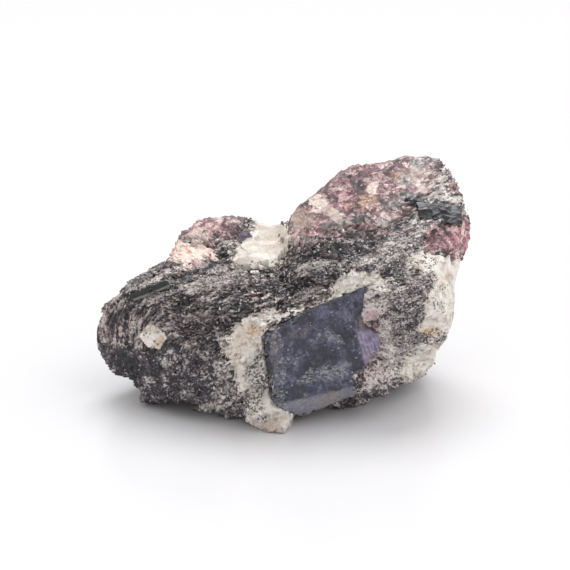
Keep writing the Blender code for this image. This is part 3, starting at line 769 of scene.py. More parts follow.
def rubyReach(directions):
    # flat faces, and on them fine growth stripes, worn and pitted places, scallops and a chipped left edge
    normals = [(turned(bearing, turn), distance) for bearing, turn, distance in rubyFaces]
    faces = [(normal, distance - normal @ (rubyCentre - heart)) for normal, distance in normals]
    reach = softReach(directions, faces, rubyCrystal["sharpness"])
    points = rubyCentre + directions * reach[:, None]
    stripe = prismPlace(points) * (1.0, -1.0, 1.0) / rubyCrystal["stripes"]
    steps = np.abs(softNoise(stripe, 201)) + 0.6 * softNoise(stripe * (2.7, 1.0, 1.0), 202)
    worn = smoothStep(roughNoise(points / 3.2, 203), 0.25, 0.9)
    pits = worn * brokenFacets(points / 0.8, 204)["height"]
    chips = brokenFacets(points / 2.6, 205)["height"]
    scallops = np.maximum(roughNoise(points / 2.2, 206), 0.0) ** 2
    edge = brokenFacets(points / 1.2, 207)["tone"] * smoothStep(1.6 - rubyCover(points), 0.0, 1.6)
    edge = edge * smoothStep(4.0 - frontPlace(points)[:, 0], 0.0, 5.0)
    reliefs = ((steps, "steps"), (-worn, "worn"), (pits, "pits"), (chips, "chips"), (-scallops, "scallops"))
    for relief, name in (*reliefs, (-edge, "chipped")):
        reach = reach + rubyCrystal[name] * relief
    return standing(directions, reach, rubyCentre[2])


def buildRuby(material):
    # its material also needs the lavender right part, the lower face, which is painted lighter as if lit from
    # the floor, the rim, and brown and worn spots
    sheet = crystalSheet(rubyCentre, frontward, rubyCrystal["spread"], rubyCrystal["grid"], rubyReach)
    points = sheet[0]
    x, w, v = frontPlace(points).T
    wander = roughNoise(points / 1.8, 221)
    bearing, turn, distance = rubyFaces[0]
    broad = frontPlace(points) @ (frontAxes @ turned(bearing, turn)) - distance
    rightPart = smoothStep(x + 0.35 * w + 0.5 * wander, 12.2, 13.2) * smoothStep(-w, 3.0, 4.6)
    leftPart = smoothStep(4.0 - x - 0.3 * w, 0.0, 5.0)
    painted = {
        "prismSpace": prismPlace(points),
        "lavender": rightPart * smoothStep(w, -11.5, -9.5),
        # lower face: painted light from the floor, and closer wear veins
        "lower": smoothStep(-broad, 0.2, 1.5) * smoothStep(-w, 8.0, 12.0),
        "rim": smoothStep(1.5 - rubyCover(points) + 0.6 * wander, 0.0, 1.3) * leftPart,
        **{name: blotches(points, spots) for name, spots in rubySpots.items()},
    }
    makePiece("ruby_crystal_surface", *sheet, material, "ruby", ("ruby_crystal",), painted)


def onFront(x, w):
    # the point of the schist's skin that the front shows at this place, by halving from inside to outside
    inside, outside = -10.0, 40.0
    for _ in range(30):
        middle = (inside + outside) / 2
        offset = np.array((x, w, middle)) @ frontAxes
        if bareReach(unit(offset)[None])[0] > np.linalg.norm(offset):
            inside = middle
        else:
            outside = middle
    return heart + np.array((x, w, inside)) @ frontAxes


# Prisms: (across, upward, half length, half height, half depth, turn in degrees).
# sides: two broad ones, which lean from the front by an angle and lie at a share of the half depth; grooves,
# steps and chunks: size and height of the relief.
hornblende = {
    "hornblende_crystals": (
        (31.2, 19.6, 4.2, 2.5, 2.2, -8),
        (35.0, 18.8, 2.2, 1.5, 1.8, 60),
        (26.8, 21.8, 2.0, 1.3, 1.6, -10),
    ),
    "hornblende_blade": ((-25.8, 3.9, 4.2, 0.75, 1.7, 17),),
}
cleavage = {
    "sides": ((12, 0.75), (-16, 0.8)), "endLean": 12, "sunk": 0.55, "sharpness": 50.0,
    "grooves": ((3.0, 0.4, 0.4), 0.04), "steps": ((3.2, 1.5, 2.0), 0.25, 0.4), "chunks": (1.6, 0.5),
    "spread": math.radians(80), "grid": (90, 90),
}


def prismPart(x, w, halfLength, halfHeight, halfDepth, turn, seed):
    # flat faces round a centre, and on them grooves along the prism, cleavage steps and broken chunks
    middle = onFront(x, w)
    out = unit(np.cross(onFront(x + 0.8, w) - middle, onFront(x, w + 0.8) - middle))
    along = leaning(across, upward, turn)
    along = unit(along - (along @ out) * out)
    up = np.cross(out, along)
    axes = np.array((along, up, out))
    centre = middle - cleavage["sunk"] * halfDepth * out
    end = leaning(along, up, cleavage["endLean"])
    faces = [(end, halfLength), (-end, halfLength), (up, halfHeight), (-up, halfHeight), (-out, halfDepth)]
    for lean, share in cleavage["sides"]:
        faces.append((leaning(out, up, lean), share * halfDepth))

    def reachOf(directions):
        reach = softReach(directions, faces, cleavage["sharpness"])
        points = centre + directions * reach[:, None]
        local = (points - centre) @ axes.T
        size, height = cleavage["grooves"]
        rough = height * softNoise(local / size, seed)
        size, height, ledge = cleavage["steps"]
        steps = brokenFacets(local / size, seed + 3)
        rough = rough + height * steps["height"] + ledge * (steps["tone"] - 0.5)
        size, height = cleavage["chunks"]
        rough = rough + height * brokenFacets(points / size, seed + 6)["height"]
        return reach + rough * smoothStep(directions @ out, 0.0, 0.6)

    shape = crystalSheet(centre, out, cleavage["spread"], cleavage["grid"], reachOf)
    return (*shape, (shape[0] - centre) @ axes.T)


def joined(parts):
    # several meshes (points, quads, triangles, ...) as one
    starts = np.cumsum([0] + [len(part[0]) for part in parts[:-1]])
    points = np.concatenate([part[0] for part in parts])
    quads = np.concatenate([part[1] + start for part, start in zip(parts, starts)])
    triangles = np.concatenate([part[2] + start for part, start in zip(parts, starts)])
    return points, quads, triangles


def buildHornblende(material):
    # the blade is dimmer than the prisms, and has a painted highlight along its lower side, where the floor's
    # light would catch it
    for seed, (name, prisms) in enumerate(hornblende.items()):
        parts = [prismPart(*prism, 300 + 10 * seed + number) for number, prism in enumerate(prisms)]
        local = np.concatenate([part[3] for part in parts])
        dim = np.full(len(local), float(name == "hornblende_blade"))
        # the lower-side stripe is a painted highlight
        painted = {"prismSpace": local, "dim": dim, "shine": dim * smoothStep(-local[:, 1], 0.25, 0.5)}
        makePiece(name + "_surface", *joined(parts), material, "hornblende", (name,), painted)


# Small crystals set in the front: outline of their sides, how far they stand out and the lean of their top.
# sunk: how deep their centres lie; facets: size and height; even: what the feldspar's material gets all over.
smallCrystal = {
    "sunk": 1.0, "depth": 3.0, "sharpness": 40.0, "spread": math.radians(82),
    "facets": ((1.5, 0.35), (0.5, 0.12)),
}
grainCrystal = {
    "node": "feldspar_grain", "slot": "feldspar", "proud": 1.5, "lean": (0.18, 0.22),
    "grid": (130, 130), "even": {"specks": 0.25, "waxy": 0.4},
    "outline": ((-26.5, -7.0), (-24.1, -7.4), (-22.7, -5.4), (-23.3, -4.2), (-25.9, -2.6), (-28.0, -5.0)),
}
violetCrystal = {
    "node": "violet_ruby_crystal", "slot": "violet_ruby", "proud": 0.9, "lean": (-0.3, 0.35),
    "grid": (90, 90), "even": {},
    "outline": ((-8.2, 13.2), (-6.6, 13.4), (-6.0, 14.6), (-6.9, 15.6), (-8.4, 15.4), (-9.0, 14.2)),
}


def buildSmallCrystal(crystal, material, seed):
    # straight sides through the outline, two faces that meet in a ridge on top, and facets of two sizes
    outline = np.array(crystal["outline"])
    middle = outline.mean(axis=0)
    centre = onFront(*middle) - frontward * smallCrystal["sunk"]
    faces = []
    for (ax, aw), (bx, bw) in zip(outline, np.roll(outline, -1, axis=0)):
        out = np.array((bw - aw, ax - bx)) / math.hypot(bx - ax, bw - aw)
        faces.append((out[0] * across + out[1] * upward, float(out @ ((ax, aw) - middle)) + 0.1))
    for lean in (1.0, -1.0):
        top = frontward + lean * (crystal["lean"][0] * across + crystal["lean"][1] * upward)
        faces.append((unit(top), crystal["proud"] + smallCrystal["sunk"]))
    faces.append((-frontward, smallCrystal["depth"]))

    def reachOf(directions):
        reach = softReach(directions, faces, smallCrystal["sharpness"])
        points = centre + directions * reach[:, None]
        for step, (size, height) in enumerate(smallCrystal["facets"]):
            reach = reach + height * brokenFacets(points / size, seed + 9 * step)["height"]
        return reach

    sheet = crystalSheet(centre, frontward, smallCrystal["spread"], crystal["grid"], reachOf)
    painted = {kind: np.full(len(sheet[0]), share) for kind, share in crystal["even"].items()}
    painted.update({"prismSpace": sheet[0], "rust": blotches(sheet[0], mineralSpots["rust"])})
    makePiece(crystal["node"] + "_surface", *sheet, material, crystal["slot"], (crystal["node"],), painted)


print("shapes defined")


# Loose grains. tries: places tried for each one; cover: how surely another mineral may lie there; lowest: how
# low it may lie; lean: how far the plates lean, in layers and in salty parts.
micaPlates = {
    "count": 4200, "tries": 3, "radius": (0.14, 0.36), "thickness": (0.06, 0.14), "lean": (0.6, 1.08),
    "stretch": 0.35, "cover": 0.35, "lowest": 0.7, "fewerInSalt": 0.45, "smallerInSalt": 0.35, "proud": 0.04,
}
quartzGrains = {
    "count": 5200, "tries": 12, "radius": (0.11, 0.28), "cover": 0.5, "lowest": 0.5, "everywhere": 0.04,
    "inSalt": 0.9, "paleAsSalt": 0.9, "proud": 0.05,
}


def scatter(grains, seed, keep):
    # directions spread evenly over a ball and then crowded towards the front, with the skin's points under
    # them, kept where nothing lies over the schist
    random = np.random.default_rng(seed)
    tries = grains["count"] * grains["tries"]
    length = np.arccos(1.0 - 2.0 * random.random(tries))
    turn = crowdedForward(random.random(tries) * 2.0 * math.pi)
    directions = directionsAt(length, turn)
    points, cover = schistSurface(directions)
    clear = (cover < grains["cover"]) & (points[:, 2] > grains["lowest"]) & (rubyCover(points) < -0.1)
    kept = clear & keep(random.random(tries), blotches(points, schistSpots["salt"]), points)
    chosen = np.flatnonzero(kept)[:grains["count"]]
    return points[chosen], directions[chosen], random


def between(ends, shares):
    return ends[0] + (ends[1] - ends[0]) * shares


def buildMica(material):
    # six-cornered plates lying in the layers, each leaning a little at random, more where the schist is salty
    def keep(chance, salt, points):
        return chance > micaPlates["fewerInSalt"] * salt

    points, directions, random = scatter(micaPlates, 501, keep)
    count = len(points)
    step = 0.05
    ends = [[layerPlace(points + side * step * axis)[:, 1] for side in (1, -1)] for axis in np.eye(3)]
    normal = unit(np.stack([(after - before) / (2 * step) for after, before in ends], axis=1))
    salt = blotches(points, schistSpots["salt"])
    normal = unit(normal + between(micaPlates["lean"], salt)[:, None] * random.normal(size=(count, 3)))
    lengthwise = unit(np.cross(normal, directions))
    crosswise = np.cross(normal, lengthwise)
    radius = between(micaPlates["radius"], random.random(count) ** 2)
    radius = radius * (1.0 - micaPlates["smallerInSalt"] * salt)
    stretch = 1.0 + micaPlates["stretch"] * random.random(count)
    half = between(micaPlates["thickness"], random.random(count)) / 2
    angles = np.arange(6) * math.pi / 3 + random.random((count, 6)) * 0.5
    size = radius[:, None] * (0.8 + 0.4 * random.random((count, 6)))
    ring = (points + directions * micaPlates["proud"])[:, None]
    ring = ring + (size * stretch[:, None] * np.cos(angles))[..., None] * lengthwise[:, None]
    ring = ring + (size * np.sin(angles))[..., None] * crosswise[:, None]
    rise = (normal * half[:, None])[:, None]
    corners = np.concatenate((ring + rise, ring - rise), axis=1)
    sides = [(k, (k + 1) % 6, 6 + (k + 1) % 6, 6 + k) for k in range(6)]
    sides = np.array(sides + [(0, 3, 2, 1), (0, 5, 4, 3), (6, 7, 8, 9), (6, 9, 10, 11)])[:, ::-1]
    quads = (sides[None] + (np.arange(count) * 12)[:, None, None]).reshape(-1, 4)
    shade = {"shade": np.repeat(random.random(count), 12)}
    makePiece("mica_plates", corners.reshape(-1, 3), quads, (), material, "schist", (), shade, False)


def buildQuartz(material):
    # eight-sided grains in the salt and pepper parts: the ends of three random axes at right angles
    def keep(chance, salt, points):
        salt = np.maximum(salt, quartzGrains["paleAsSalt"] * blotches(points, schistSpots["pale"]))
        return chance < quartzGrains["everywhere"] + quartzGrains["inSalt"] * salt

    points, directions, random = scatter(quartzGrains, 601, keep)
    count = len(points)
    radius = between(quartzGrains["radius"], random.random(count) ** 1.5)
    turns = np.linalg.qr(random.normal(size=(count, 3, 3)))[0]
    axes = turns * (radius[:, None] * (0.7 + 0.6 * random.random((count, 3))))[:, :, None]
    corners = np.concatenate((axes, -axes), axis=1) + (points + directions * quartzGrains["proud"])[:, None]
    eight = np.array([(0, 1, 2), (1, 3, 2), (3, 4, 2), (4, 0, 2), (1, 0, 5), (3, 1, 5), (4, 3, 5), (0, 4, 5)])
    insideOut = np.linalg.det(axes) < 0
    faces = np.where(insideOut[:, None, None], eight[None, :, ::-1], eight[None])
    triangles = (faces + (np.arange(count) * 6)[:, None, None]).reshape(-1, 3)
    shade = {"shade": np.repeat(random.random(count), 6)}
    makePiece("quartz_grains", corners.reshape(-1, 3), (), triangles, material, "feldspar", (), shade, False)


def linear(hexColour):
    # an sRGB hex colour as linear red, green, blue and full opacity
    parts = np.array([int(hexColour[place:place + 2], 16) for place in (1, 3, 5)]) / 255.0
    parts = np.where(parts <= 0.04045, parts / 12.92, ((parts + 0.055) / 1.055) ** 2.4)
    return (*parts.tolist(), 1.0)


def fillSockets(node, inputs):
    # an input is a value, a hex colour or another node's socket
    for name, value in inputs.items():
        if isinstance(value, bpy.types.NodeSocket):
            node.id_data.links.new(value, node.inputs[name])
        else:
            node.inputs[name].default_value = linear(value) if isinstance(value, str) else value


def addNode(tree, kind, inputs, out=0, stops=(), **settings):
    # one node with its settings and links; gives its socket out; stops are a colour ramp's places and colours
    node = tree.nodes.new("ShaderNode" + kind)
    for name, value in settings.items():
        setattr(node, name, value)
    fillSockets(node, inputs)
    for number, (place, colour) in enumerate(stops):
        ramp = node.color_ramp.elements
        stop = ramp[number] if number < 2 else ramp.new(place)
        stop.position, stop.color = place, linear(colour)
    return node.outputs[out]


def makeMaterial(name, finish, *colours, **values):
    # finish gives a ground colour, the stains laid over it in turn (where, how much, colour, blend), what
    # goes into more of the shader's sockets, and bumps (height, depth in mm, strength), each on the last
    material = bpy.data.materials.new(name)
    material.use_nodes = True
    add = functools.partial(addNode, material.node_tree)
    colour, stains, sockets, bumps = finish(add, *colours)
    for share, most, stain, blend in stains:
        share = add("Math", {0: share, 1: most}, operation="MULTIPLY")
        colour = add("Mix", {0: share, 6: colour, 7: stain}, 2, data_type="RGBA", blend_type=blend)
    normal = {}
    for height, depth, strength in bumps:
        bump = {"Height": height, "Distance": depth * mm, "Strength": strength, **normal}
        normal = {"Normal": add("Bump", bump)}
    shader = material.node_tree.nodes["Principled BSDF"]
    fillSockets(shader, {socket.replace("_", " "): value for socket, value in values.items()})
    fillSockets(shader, {"Base Color": colour, **sockets, **normal})
    return material


def objectSpace(add):
    # Object coordinates in mm
    return add("VectorMath", {0: add("TexCoord", {}, "Object"), 3: 1.0 / mm}, operation="SCALE")


def brokenGrains(add, space, size, shift=0.0):
    # irregular grains of this size in mm: two random numbers each, and the height of its tilted flat face
    wander = add("TexNoise", {"Vector": space, "Scale": 0.9 / min(size), "Detail": 1.0}, "Color")
    wander = add("VectorMath", {0: wander, 3: 0.5}, operation="SCALE")
    place = add("VectorMath", {0: space, 1: [1.0 / side for side in size]}, operation="MULTIPLY")
    for part in (wander, (shift, shift, shift)):
        place = add("VectorMath", {0: place, 1: part}, operation="ADD")
    colour = add("TexVoronoi", {"Vector": place, "Scale": 1.0}, "Color")
    tilt = add("VectorMath", {0: colour, 1: (0.5, 0.5, 0.5)}, operation="SUBTRACT")
    away = add("VectorMath", {0: place, 1: colour.node.outputs["Position"]}, operation="SUBTRACT")
    height = add("VectorMath", {0: away, 1: tilt}, "Value", operation="DOT_PRODUCT")
    tone = add("SeparateColor", {0: colour})
    return tone, tone.node.outputs[1], height


# Grain sizes are real ones, in mm; the finest mica, about 0.1 mm, is drawn at 0.3 mm so that it shows.
def schistFinish(add):
    # Biotite schist broken across its layers: dark plates edge on, which glint, and grey and white grains.
    layers = add("Attribute", {}, "Vector", attribute_name="layerSpace")
    names = ("salt", "pale", "dark", "mauve", "granular")
    salt, pale, dark, mauve, granular = (add("Attribute", {}, "Fac", attribute_name=name) for name in names)
    lens, _, lensHeight = brokenGrains(add, layers, (4.0, 0.85, 3.0), 51.0)
    chip, _, chipHeight = brokenGrains(add, layers, (1.8, 0.65, 1.5), 41.0)
    flake, flakeSide, flakeHeight = brokenGrains(add, layers, (0.75, 0.36, 0.6))
    grain, _, grainHeight = brokenGrains(add, objectSpace(add), (0.52, 0.4, 0.48), 13.0)
    speck, _, speckHeight = brokenGrains(add, objectSpace(add), (0.36, 0.28, 0.34), 29.0)
    seam, _, _ = brokenGrains(add, layers, (3.4, 0.22, 2.6), 67.0)
    clouds = add("TexNoise", {"Vector": layers, "Scale": 0.4, "Detail": 3.0}, "Fac")
    # tone: flakes or grains and specks, then darker and lighter lenses, chips, clouds and painted places
    layered = add("Math", {0: granular, 1: -0.7, 2: 1.0}, operation="MULTIPLY_ADD")
    tone = add("Mix", {0: granular, 2: flake, 3: grain})
    tone = add("Mix", {0: 0.4, 2: tone, 3: speck})
    tone = add("Math", {0: tone, 1: 0.9, 2: -0.45}, operation="MULTIPLY_ADD")
    for cells, weight in ((lens, 0.44), (chip, 0.4)):
        cells = add("Math", {0: cells, 1: weight, 2: -0.5 * weight}, operation="MULTIPLY_ADD")
        tone = add("Math", {0: cells, 1: layered, 2: tone}, operation="MULTIPLY_ADD")
    for place, weight in ((clouds, 0.95), (salt, 0.13), (pale, 0.6), (dark, -0.36)):
        tone = add("Math", {0: place, 1: weight, 2: tone}, operation="MULTIPLY_ADD")
    ground = add("ValToRGB", {0: tone}, stops=(
        (0.0, "#1d1a20"), (0.3, "#353038"), (0.45, "#575055"), (0.56, "#817879"), (0.67, "#ada4a2"),
        (0.8, "#dcd3ce"), (1.0, "#f1eae4"),
    ))
    # thin pale seams, brown flakes, and mauve parts that hold ruby dust
    seam = add("Math", {0: granular, 1: -0.3, 2: seam}, operation="MULTIPLY_ADD")
    seam = add("Math", {0: seam, 1: 0.84}, operation="GREATER_THAN")
    brown = add("Math", {0: flakeSide, 1: 0.68}, operation="GREATER_THAN")
    brown = add("Math", {0: brown, 1: layered}, operation="MULTIPLY")
    stains = (
        (seam, 0.3, "#ab9a94", "MIX"),
        (brown, 0.3, "#e0c4b4", "MULTIPLY"),
        (mauve, 0.75, "#e0a6ae", "MULTIPLY"),
    )
    bumps = (
        (lensHeight, 0.4, layered), (chipHeight, 0.4, layered), (flakeHeight, 0.2, layered),
        (grainHeight, 0.3, 1.0), (speckHeight, 0.16, 1.0),
    )
    return ground, stains, {"Roughness": add("MapRange", {0: flakeSide, 3: 0.22, 4: 0.6})}, bumps


def feldsparFinish(add, white, cream, shadow):
    # Feldspar with quartz, broken rough: waxy white to cream, stained orange by iron along its cracks.
    space = objectSpace(add)
    names = ("rust", "specks", "grey", "waxy")
    rust, specks, grey, waxy = (add("Attribute", {}, "Fac", attribute_name=name) for name in names)
    grain, side, height = brokenGrains(add, space, (1.1, 0.7, 0.9))
    fine, _, fineHeight = brokenGrains(add, space, (0.4, 0.32, 0.36), 17.0)
    tone = add("TexNoise", {"Vector": space, "Scale": 0.3, "Detail": 5.0}, "Fac")
    rugged = add("Math", {0: 1.0, 1: waxy}, operation="SUBTRACT")
    for cells, weight in ((grain, 0.5), (fine, 0.28)):
        share = add("Math", {0: rugged, 1: weight}, operation="MULTIPLY")
        tone = add("Mix", {0: share, 2: tone, 3: cells})
    ground = add("ValToRGB", {0: tone}, stops=((0.3, shadow), (0.42, cream), (0.6, white)))
    # clear quartz looks grey; iron stain; mica specks, thicker towards the schist
    greyShare = add("MapRange", {0: fine, 1: 0.2, 2: 0.9, 3: 0.3, 4: 1.0})
    rustShare = add("MapRange", {0: tone, 1: 0.35, 2: 0.65, 3: 0.15, 4: 0.85})
    mica = add("Math", {0: specks, 1: 0.5, 2: fine}, operation="MULTIPLY_ADD")
    mica = add("Math", {0: mica, 1: 1.04}, operation="GREATER_THAN")
    stains = (
        (grey, greyShare, "#93938f", "MIX"),
        (waxy, 0.7, "#e6e2df", "MULTIPLY"),
        (rust, rustShare, "#cf9a62", "MIX"),
        (mica, 0.85, "#4f494b", "MIX"),
    )
    roughness = add("MapRange", {0: side, 3: 0.32, 4: 0.66})
    return ground, stains, {"Roughness": roughness}, ((height, 0.3, rugged), (fineHeight, 0.16, rugged))


def crustFinish(add):
    # A crust of small ruby grains with feldspar and mica between: mauve, crimson and brown, broken rough.
    space = objectSpace(add)
    names = ("cream", "rust", "grey", "crimson")
    cream, rust, grey, crimson = (add("Attribute", {}, "Fac", attribute_name=name) for name in names)
    grain, side, height = brokenGrains(add, space, (1.05, 0.85, 0.95))
    fine, _, fineHeight = brokenGrains(add, space, (0.46, 0.42, 0.44), 23.0)
    lump, _, _ = brokenGrains(add, space, (2.4, 1.8, 2.2), 31.0)
    lump = add("Math", {0: lump, 1: 0.68}, operation="SUBTRACT")
    tone = add("Mix", {0: 0.4, 2: grain, 3: fine})
    tone = add("Math", {0: lump, 1: 0.4, 2: tone}, operation="MULTIPLY_ADD")
    mauve = add("ValToRGB", {0: tone}, stops=(
        (0.1, "#36262a"), (0.27, "#5f3f43"), (0.42, "#855a5e"), (0.56, "#9f787a"), (0.72, "#bf9f9c"),
        (0.9, "#e2d0ca"),
    ))
    red = add("ValToRGB", {0: tone}, stops=(
        (0.02, "#6d3a44"), (0.24, "#ab6872"), (0.46, "#d4989f"), (0.75, "#f5d5d1"),
    ))
    ashen = add("ValToRGB", {0: tone}, stops=((0.15, "#4c4a4c"), (0.5, "#8b8785"), (0.85, "#cdc6c0")))
    brown = add("ValToRGB", {0: fine}, stops=((0.2, "#8f6a4c"), (0.8, "#d5ad83")))
    mica = add("Math", {0: side, 1: 0.84}, operation="GREATER_THAN")
    stains = (
        (crimson, 1.0, red, "MIX"), (mica, 0.7, "#5b5154", "MIX"), (grey, 1.0, ashen, "MIX"),
        (rust, 0.6, brown, "MIX"), (cream, 0.92, "#ecdacf", "MIX"),
    )
    roughness = add("MapRange", {0: side, 3: 0.28, 4: 0.62})
    return mauve, stains, {"Roughness": roughness}, ((height, 0.26, 1.0), (fineHeight, 0.13, 1.0))


def rubyFinish(add, dark, middle, light):
    # Corundum, too full of mica to be clear: dark prism faces, dull and finely striped across their axis.
    space = add("Attribute", {}, "Vector", attribute_name="prismSpace")
    names = ("lavender", "brown", "worn", "lower", "rim")
    lavender, brown, worn, lower, rim = (add("Attribute", {}, "Fac", attribute_name=name) for name in names)
    stretched = add("VectorMath", {0: space, 1: (2.4, 0.45, 0.9)}, operation="MULTIPLY")
    stripes, cloud, mottle, scratch = (add("TexNoise", inputs, "Fac") for inputs in (
        {"Vector": stretched, "Scale": 1.0, "Detail": 4.0},
        {"Vector": space, "Scale": 0.3, "Detail": 5.0, "Roughness": 0.62},
        {"Vector": space, "Scale": 1.1, "Detail": 3.0},
        {"Vector": space, "Scale": 0.9, "Detail": 6.0, "Roughness": 0.72, "Distortion": 1.6},
    ))
    fleck, fleckSide, fleckHeight = brokenGrains(add, space, (0.42, 0.3, 0.42))
    clinging, clingingSide, _ = brokenGrains(add, space, (0.7, 0.5, 0.6), 7.0)
    tone = add("Mix", {0: 0.75, 2: stripes, 3: cloud})
    # the lower face is painted lighter: painted light from the floor below
    for share, weight in ((lower, 0.52), (mottle, 0.3), (fleck, 0.1)):
        tone = add("Math", {0: share, 1: weight, 2: tone}, operation="MULTIPLY_ADD")
    ground = add("ValToRGB", {0: tone}, stops=((0.56, dark), (0.7, middle), (0.88, light)))
    # thin pale veins and flecks, closer together on the worn parts and the lower face
    share = add("Math", {0: worn, 1: lower}, operation="MAXIMUM")
    vein = add("Math", {0: scratch, 1: 0.5}, operation="SUBTRACT")
    vein = add("Math", {0: vein}, operation="ABSOLUTE")
    vein = add("MapRange", {0: vein, 1: 0.0, 2: 0.045, 3: 1.0, 4: 0.0})
    veinShare = add("Math", {0: share, 1: 0.62, 2: 0.06}, operation="MULTIPLY_ADD")
    vein = add("Math", {0: vein, 1: veinShare}, operation="MULTIPLY")
    pale = add("Math", {0: share, 1: 0.22, 2: fleckSide}, operation="MULTIPLY_ADD")
    pale = add("Math", {0: pale, 1: 0.985}, operation="GREATER_THAN")
    pale = add("Math", {0: pale, 1: 0.6}, operation="MULTIPLY")
    pale = add("Math", {0: vein, 1: pale}, operation="MAXIMUM")
    lilac = add("Mix", {0: 0.4, 2: stripes, 3: mottle})
    lilac = add("ValToRGB", {0: lilac}, stops=((0.4, "#74688a"), (0.62, "#b3a6bb")))
    brownShare = add("MapRange", {0: scratch, 1: 0.4, 2: 0.6, 3: 0.15, 4: 0.8})
    # mica and feldspar grains still cling to its left edge
    crumbs = add("ValToRGB", {0: clinging}, stops=((0.3, "#1d1b1e"), (0.7, "#3d393b"), (0.95, "#a9a29b")))
    rim = add("Math", {0: rim, 1: clingingSide}, operation="GREATER_THAN")
    # the lower face's pale grey-blue is painted light from the floor
    stains = (
        (lower, 0.35, "#918f9b", "MIX"), (lavender, 0.8, lilac, "MIX"), (brown, brownShare, "#8d7c6c", "MIX"),
        (pale, 1.0, "#a4a4a6", "MIX"), (rim, 1.0, crumbs, "MIX"),
    )
    roughness = add("MapRange", {0: cloud, 1: 0.3, 2: 0.7, 3: 0.3, 4: 0.55})
    return ground, stains, {"Roughness": roughness}, ((stripes, 0.03, 1.0), (fleckHeight, 0.07, 1.0))


def hornblendeFinish(add):
    # Hornblende: black, with a painted blue-grey sheen in bands along its cleaved sides, standing in for
    # their glassy reflections.
    space = add("Attribute", {}, "Vector", attribute_name="prismSpace")
    dim, shine = (add("Attribute", {}, "Fac", attribute_name=name) for name in ("dim", "shine"))
    stretched = add("VectorMath", {0: space, 1: (0.22, 0.7, 0.7)}, operation="MULTIPLY")
    bands = add("TexNoise", {"Vector": stretched, "Scale": 1.0, "Detail": 2.0, "Distortion": 0.6}, "Fac")
    # the pale stop at 0.58 is painted sheen: a reflection laid into the colour
    ground = add("ValToRGB", {0: bands}, stops=(
        (0.34, "#0c0b0e"), (0.47, "#1b1a1e"), (0.53, "#35363c"), (0.58, "#6f7177"), (0.63, "#232328"),
        (0.76, "#111013"),
    ))
    # the blade's lower-side stripe is a painted highlight, not a colour of the hornblende
    return ground, ((dim, 0.85, "#1e1f22", "MIX"), (shine, 0.7, "#8f918b", "MIX")), {}, ((bands, 0.2, 1.0),)


def micaFinish(add):
    # Biotite plates, cleaved: dark brown-black and mirror-bright where they face the light.
    shade = add("Attribute", {}, "Fac", attribute_name="shade")
    ground = add("ValToRGB", {0: shade}, stops=(
        (0.0, "#2a272b"), (0.4, "#4a4549"), (0.65, "#6f686a"), (0.82, "#978d8d"), (0.96, "#cfc6c1"),
    ))
    return ground, (), {"Roughness": add("MapRange", {0: shade, 3: 0.2, 4: 0.5})}, ()


def quartzFinish(add):
    # Grains of quartz and feldspar, broken: clear grey to white, glassy.
    shade = add("Attribute", {}, "Fac", attribute_name="shade")
    ground = add("ValToRGB", {0: shade}, stops=((0.0, "#777273"), (0.5, "#aea7a5"), (1.0, "#e4deda")))
    return ground, (), {}, ()


def acrylicFinish(add):
    # The table: white cast acrylic, faintly glossy.
    return "#dddcde", (), {}, ()


# The camera looks along the front's own facing direction, from studio["distance"] mm.
# lights: where each comes from, how wide it looks, and its strength.
studio = {
    "aim": (0.6, 5.0), "distance": 350.0, "lens": 110.5, "sensor": 36.0, "clip": (0.01, 50.0),
    "floorSize": 30000.0, "floorDrop": 0.02, "world": ("#ffffff", 0.80),
    "lights": (
        ("overhead", (0.0, 0.55, 1.0), math.radians(34), 1.8),
        ("right", (0.9, -0.1, 0.9), math.radians(60), 0.8),
    ),
}


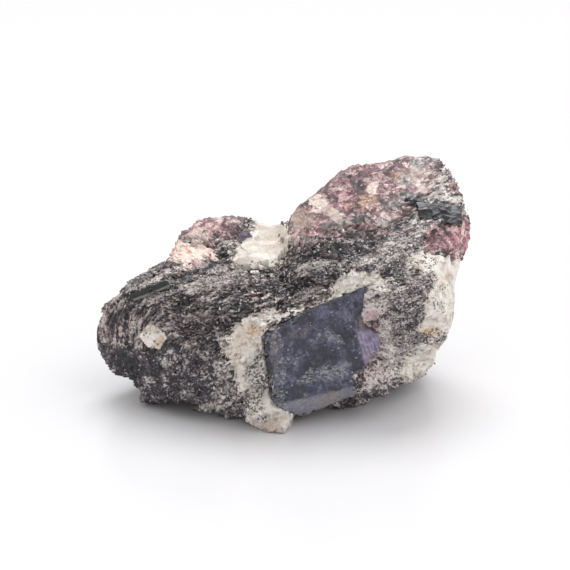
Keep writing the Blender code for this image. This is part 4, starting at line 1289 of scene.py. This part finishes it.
def buildStudio():
    scene = bpy.context.scene
    aim = heart + studio["aim"][0] * across + studio["aim"][1] * upward
    eye = Vector((aim + frontward * studio["distance"]) * mm)
    camera = bpy.data.objects.new("camera", bpy.data.cameras.new("camera"))
    camera.data.sensor_width, camera.data.lens = studio["sensor"], studio["lens"]
    camera.data.clip_start, camera.data.clip_end = studio["clip"]
    looking = Vector(frontward).to_track_quat("Z", "Y").to_matrix().to_4x4()
    camera.matrix_world = Matrix.Translation(eye) @ looking
    scene.collection.objects.link(camera)
    scene.camera = camera

    half = studio["floorSize"] / 2
    corners = np.array([(side, depth, 0.0) for side, depth in ((-1, -1), (1, -1), (1, 1), (-1, 1))]) * half
    mesh = bpy.data.meshes.new("floor")
    mesh.from_pydata(((corners - (0.0, 0.0, studio["floorDrop"])) * mm).tolist(), [], [(0, 1, 2, 3)])
    mesh.materials.append(makeMaterial("whiteAcrylic", acrylicFinish, Roughness=0.25, IOR=1.5))
    floor = bpy.data.objects.new("floor", mesh)
    scene.collection.objects.link(floor)

    for name, source, width, strength in studio["lights"]:
        light = bpy.data.objects.new(name, bpy.data.lights.new(name, "SUN"))
        light.data.angle, light.data.energy = width, strength
        light.rotation_euler = Vector(source).to_track_quat("Z", "Y").to_euler()
        scene.collection.objects.link(light)
    scene.world = bpy.data.worlds.new("softRoom")
    scene.world.use_nodes = True
    colour, strength = studio["world"]
    fillSockets(scene.world.node_tree.nodes["Background"], {"Color": colour, "Strength": strength})
    scene.view_settings.view_transform = "Standard"
    print("camera, floor and light ready")


buildStudio()
# Each mineral has its usual index of refraction.
white, peach = ("#faf5ee", "#ebe1d6", "#c4b9ae"), ("#fff0e5", "#f4d3c6", "#d6aea3")
indigo, violet = ("#1c1c26", "#36364a", "#6e6e82"), ("#2f2a36", "#554d5b", "#857a88")
minerals = {
    "feldspar": makeMaterial("feldspar", feldsparFinish, *white, IOR=1.53),
    "peach_feldspar": makeMaterial("peachFeldspar", feldsparFinish, *peach, IOR=1.53),
    "ruby_crust": makeMaterial("rubyCrust", crustFinish, IOR=1.76),
}
buildSchist(makeMaterial("micaSchist", schistFinish, IOR=1.58))
for number, (name, patch) in enumerate(patches.items()):
    buildPatch(name, patch, minerals[patch["slot"]], 100 * number + 400)
buildRuby(makeMaterial("indigoRuby", rubyFinish, *indigo, IOR=1.77, Specular_IOR_Level=0.28))
shiny = {"Roughness": 0.36, "IOR": 1.65, "Specular_IOR_Level": 0.35}
buildHornblende(makeMaterial("hornblende", hornblendeFinish, **shiny))
buildSmallCrystal(grainCrystal, minerals["feldspar"], 1301)
violetRuby = makeMaterial("violetRuby", rubyFinish, *violet, IOR=1.77, Specular_IOR_Level=0.28)
buildSmallCrystal(violetCrystal, violetRuby, 1401)
buildMica(makeMaterial("biotitePlates", micaFinish, IOR=1.6))
buildQuartz(makeMaterial("quartzGrains", quartzFinish, Roughness=0.35, IOR=1.54))
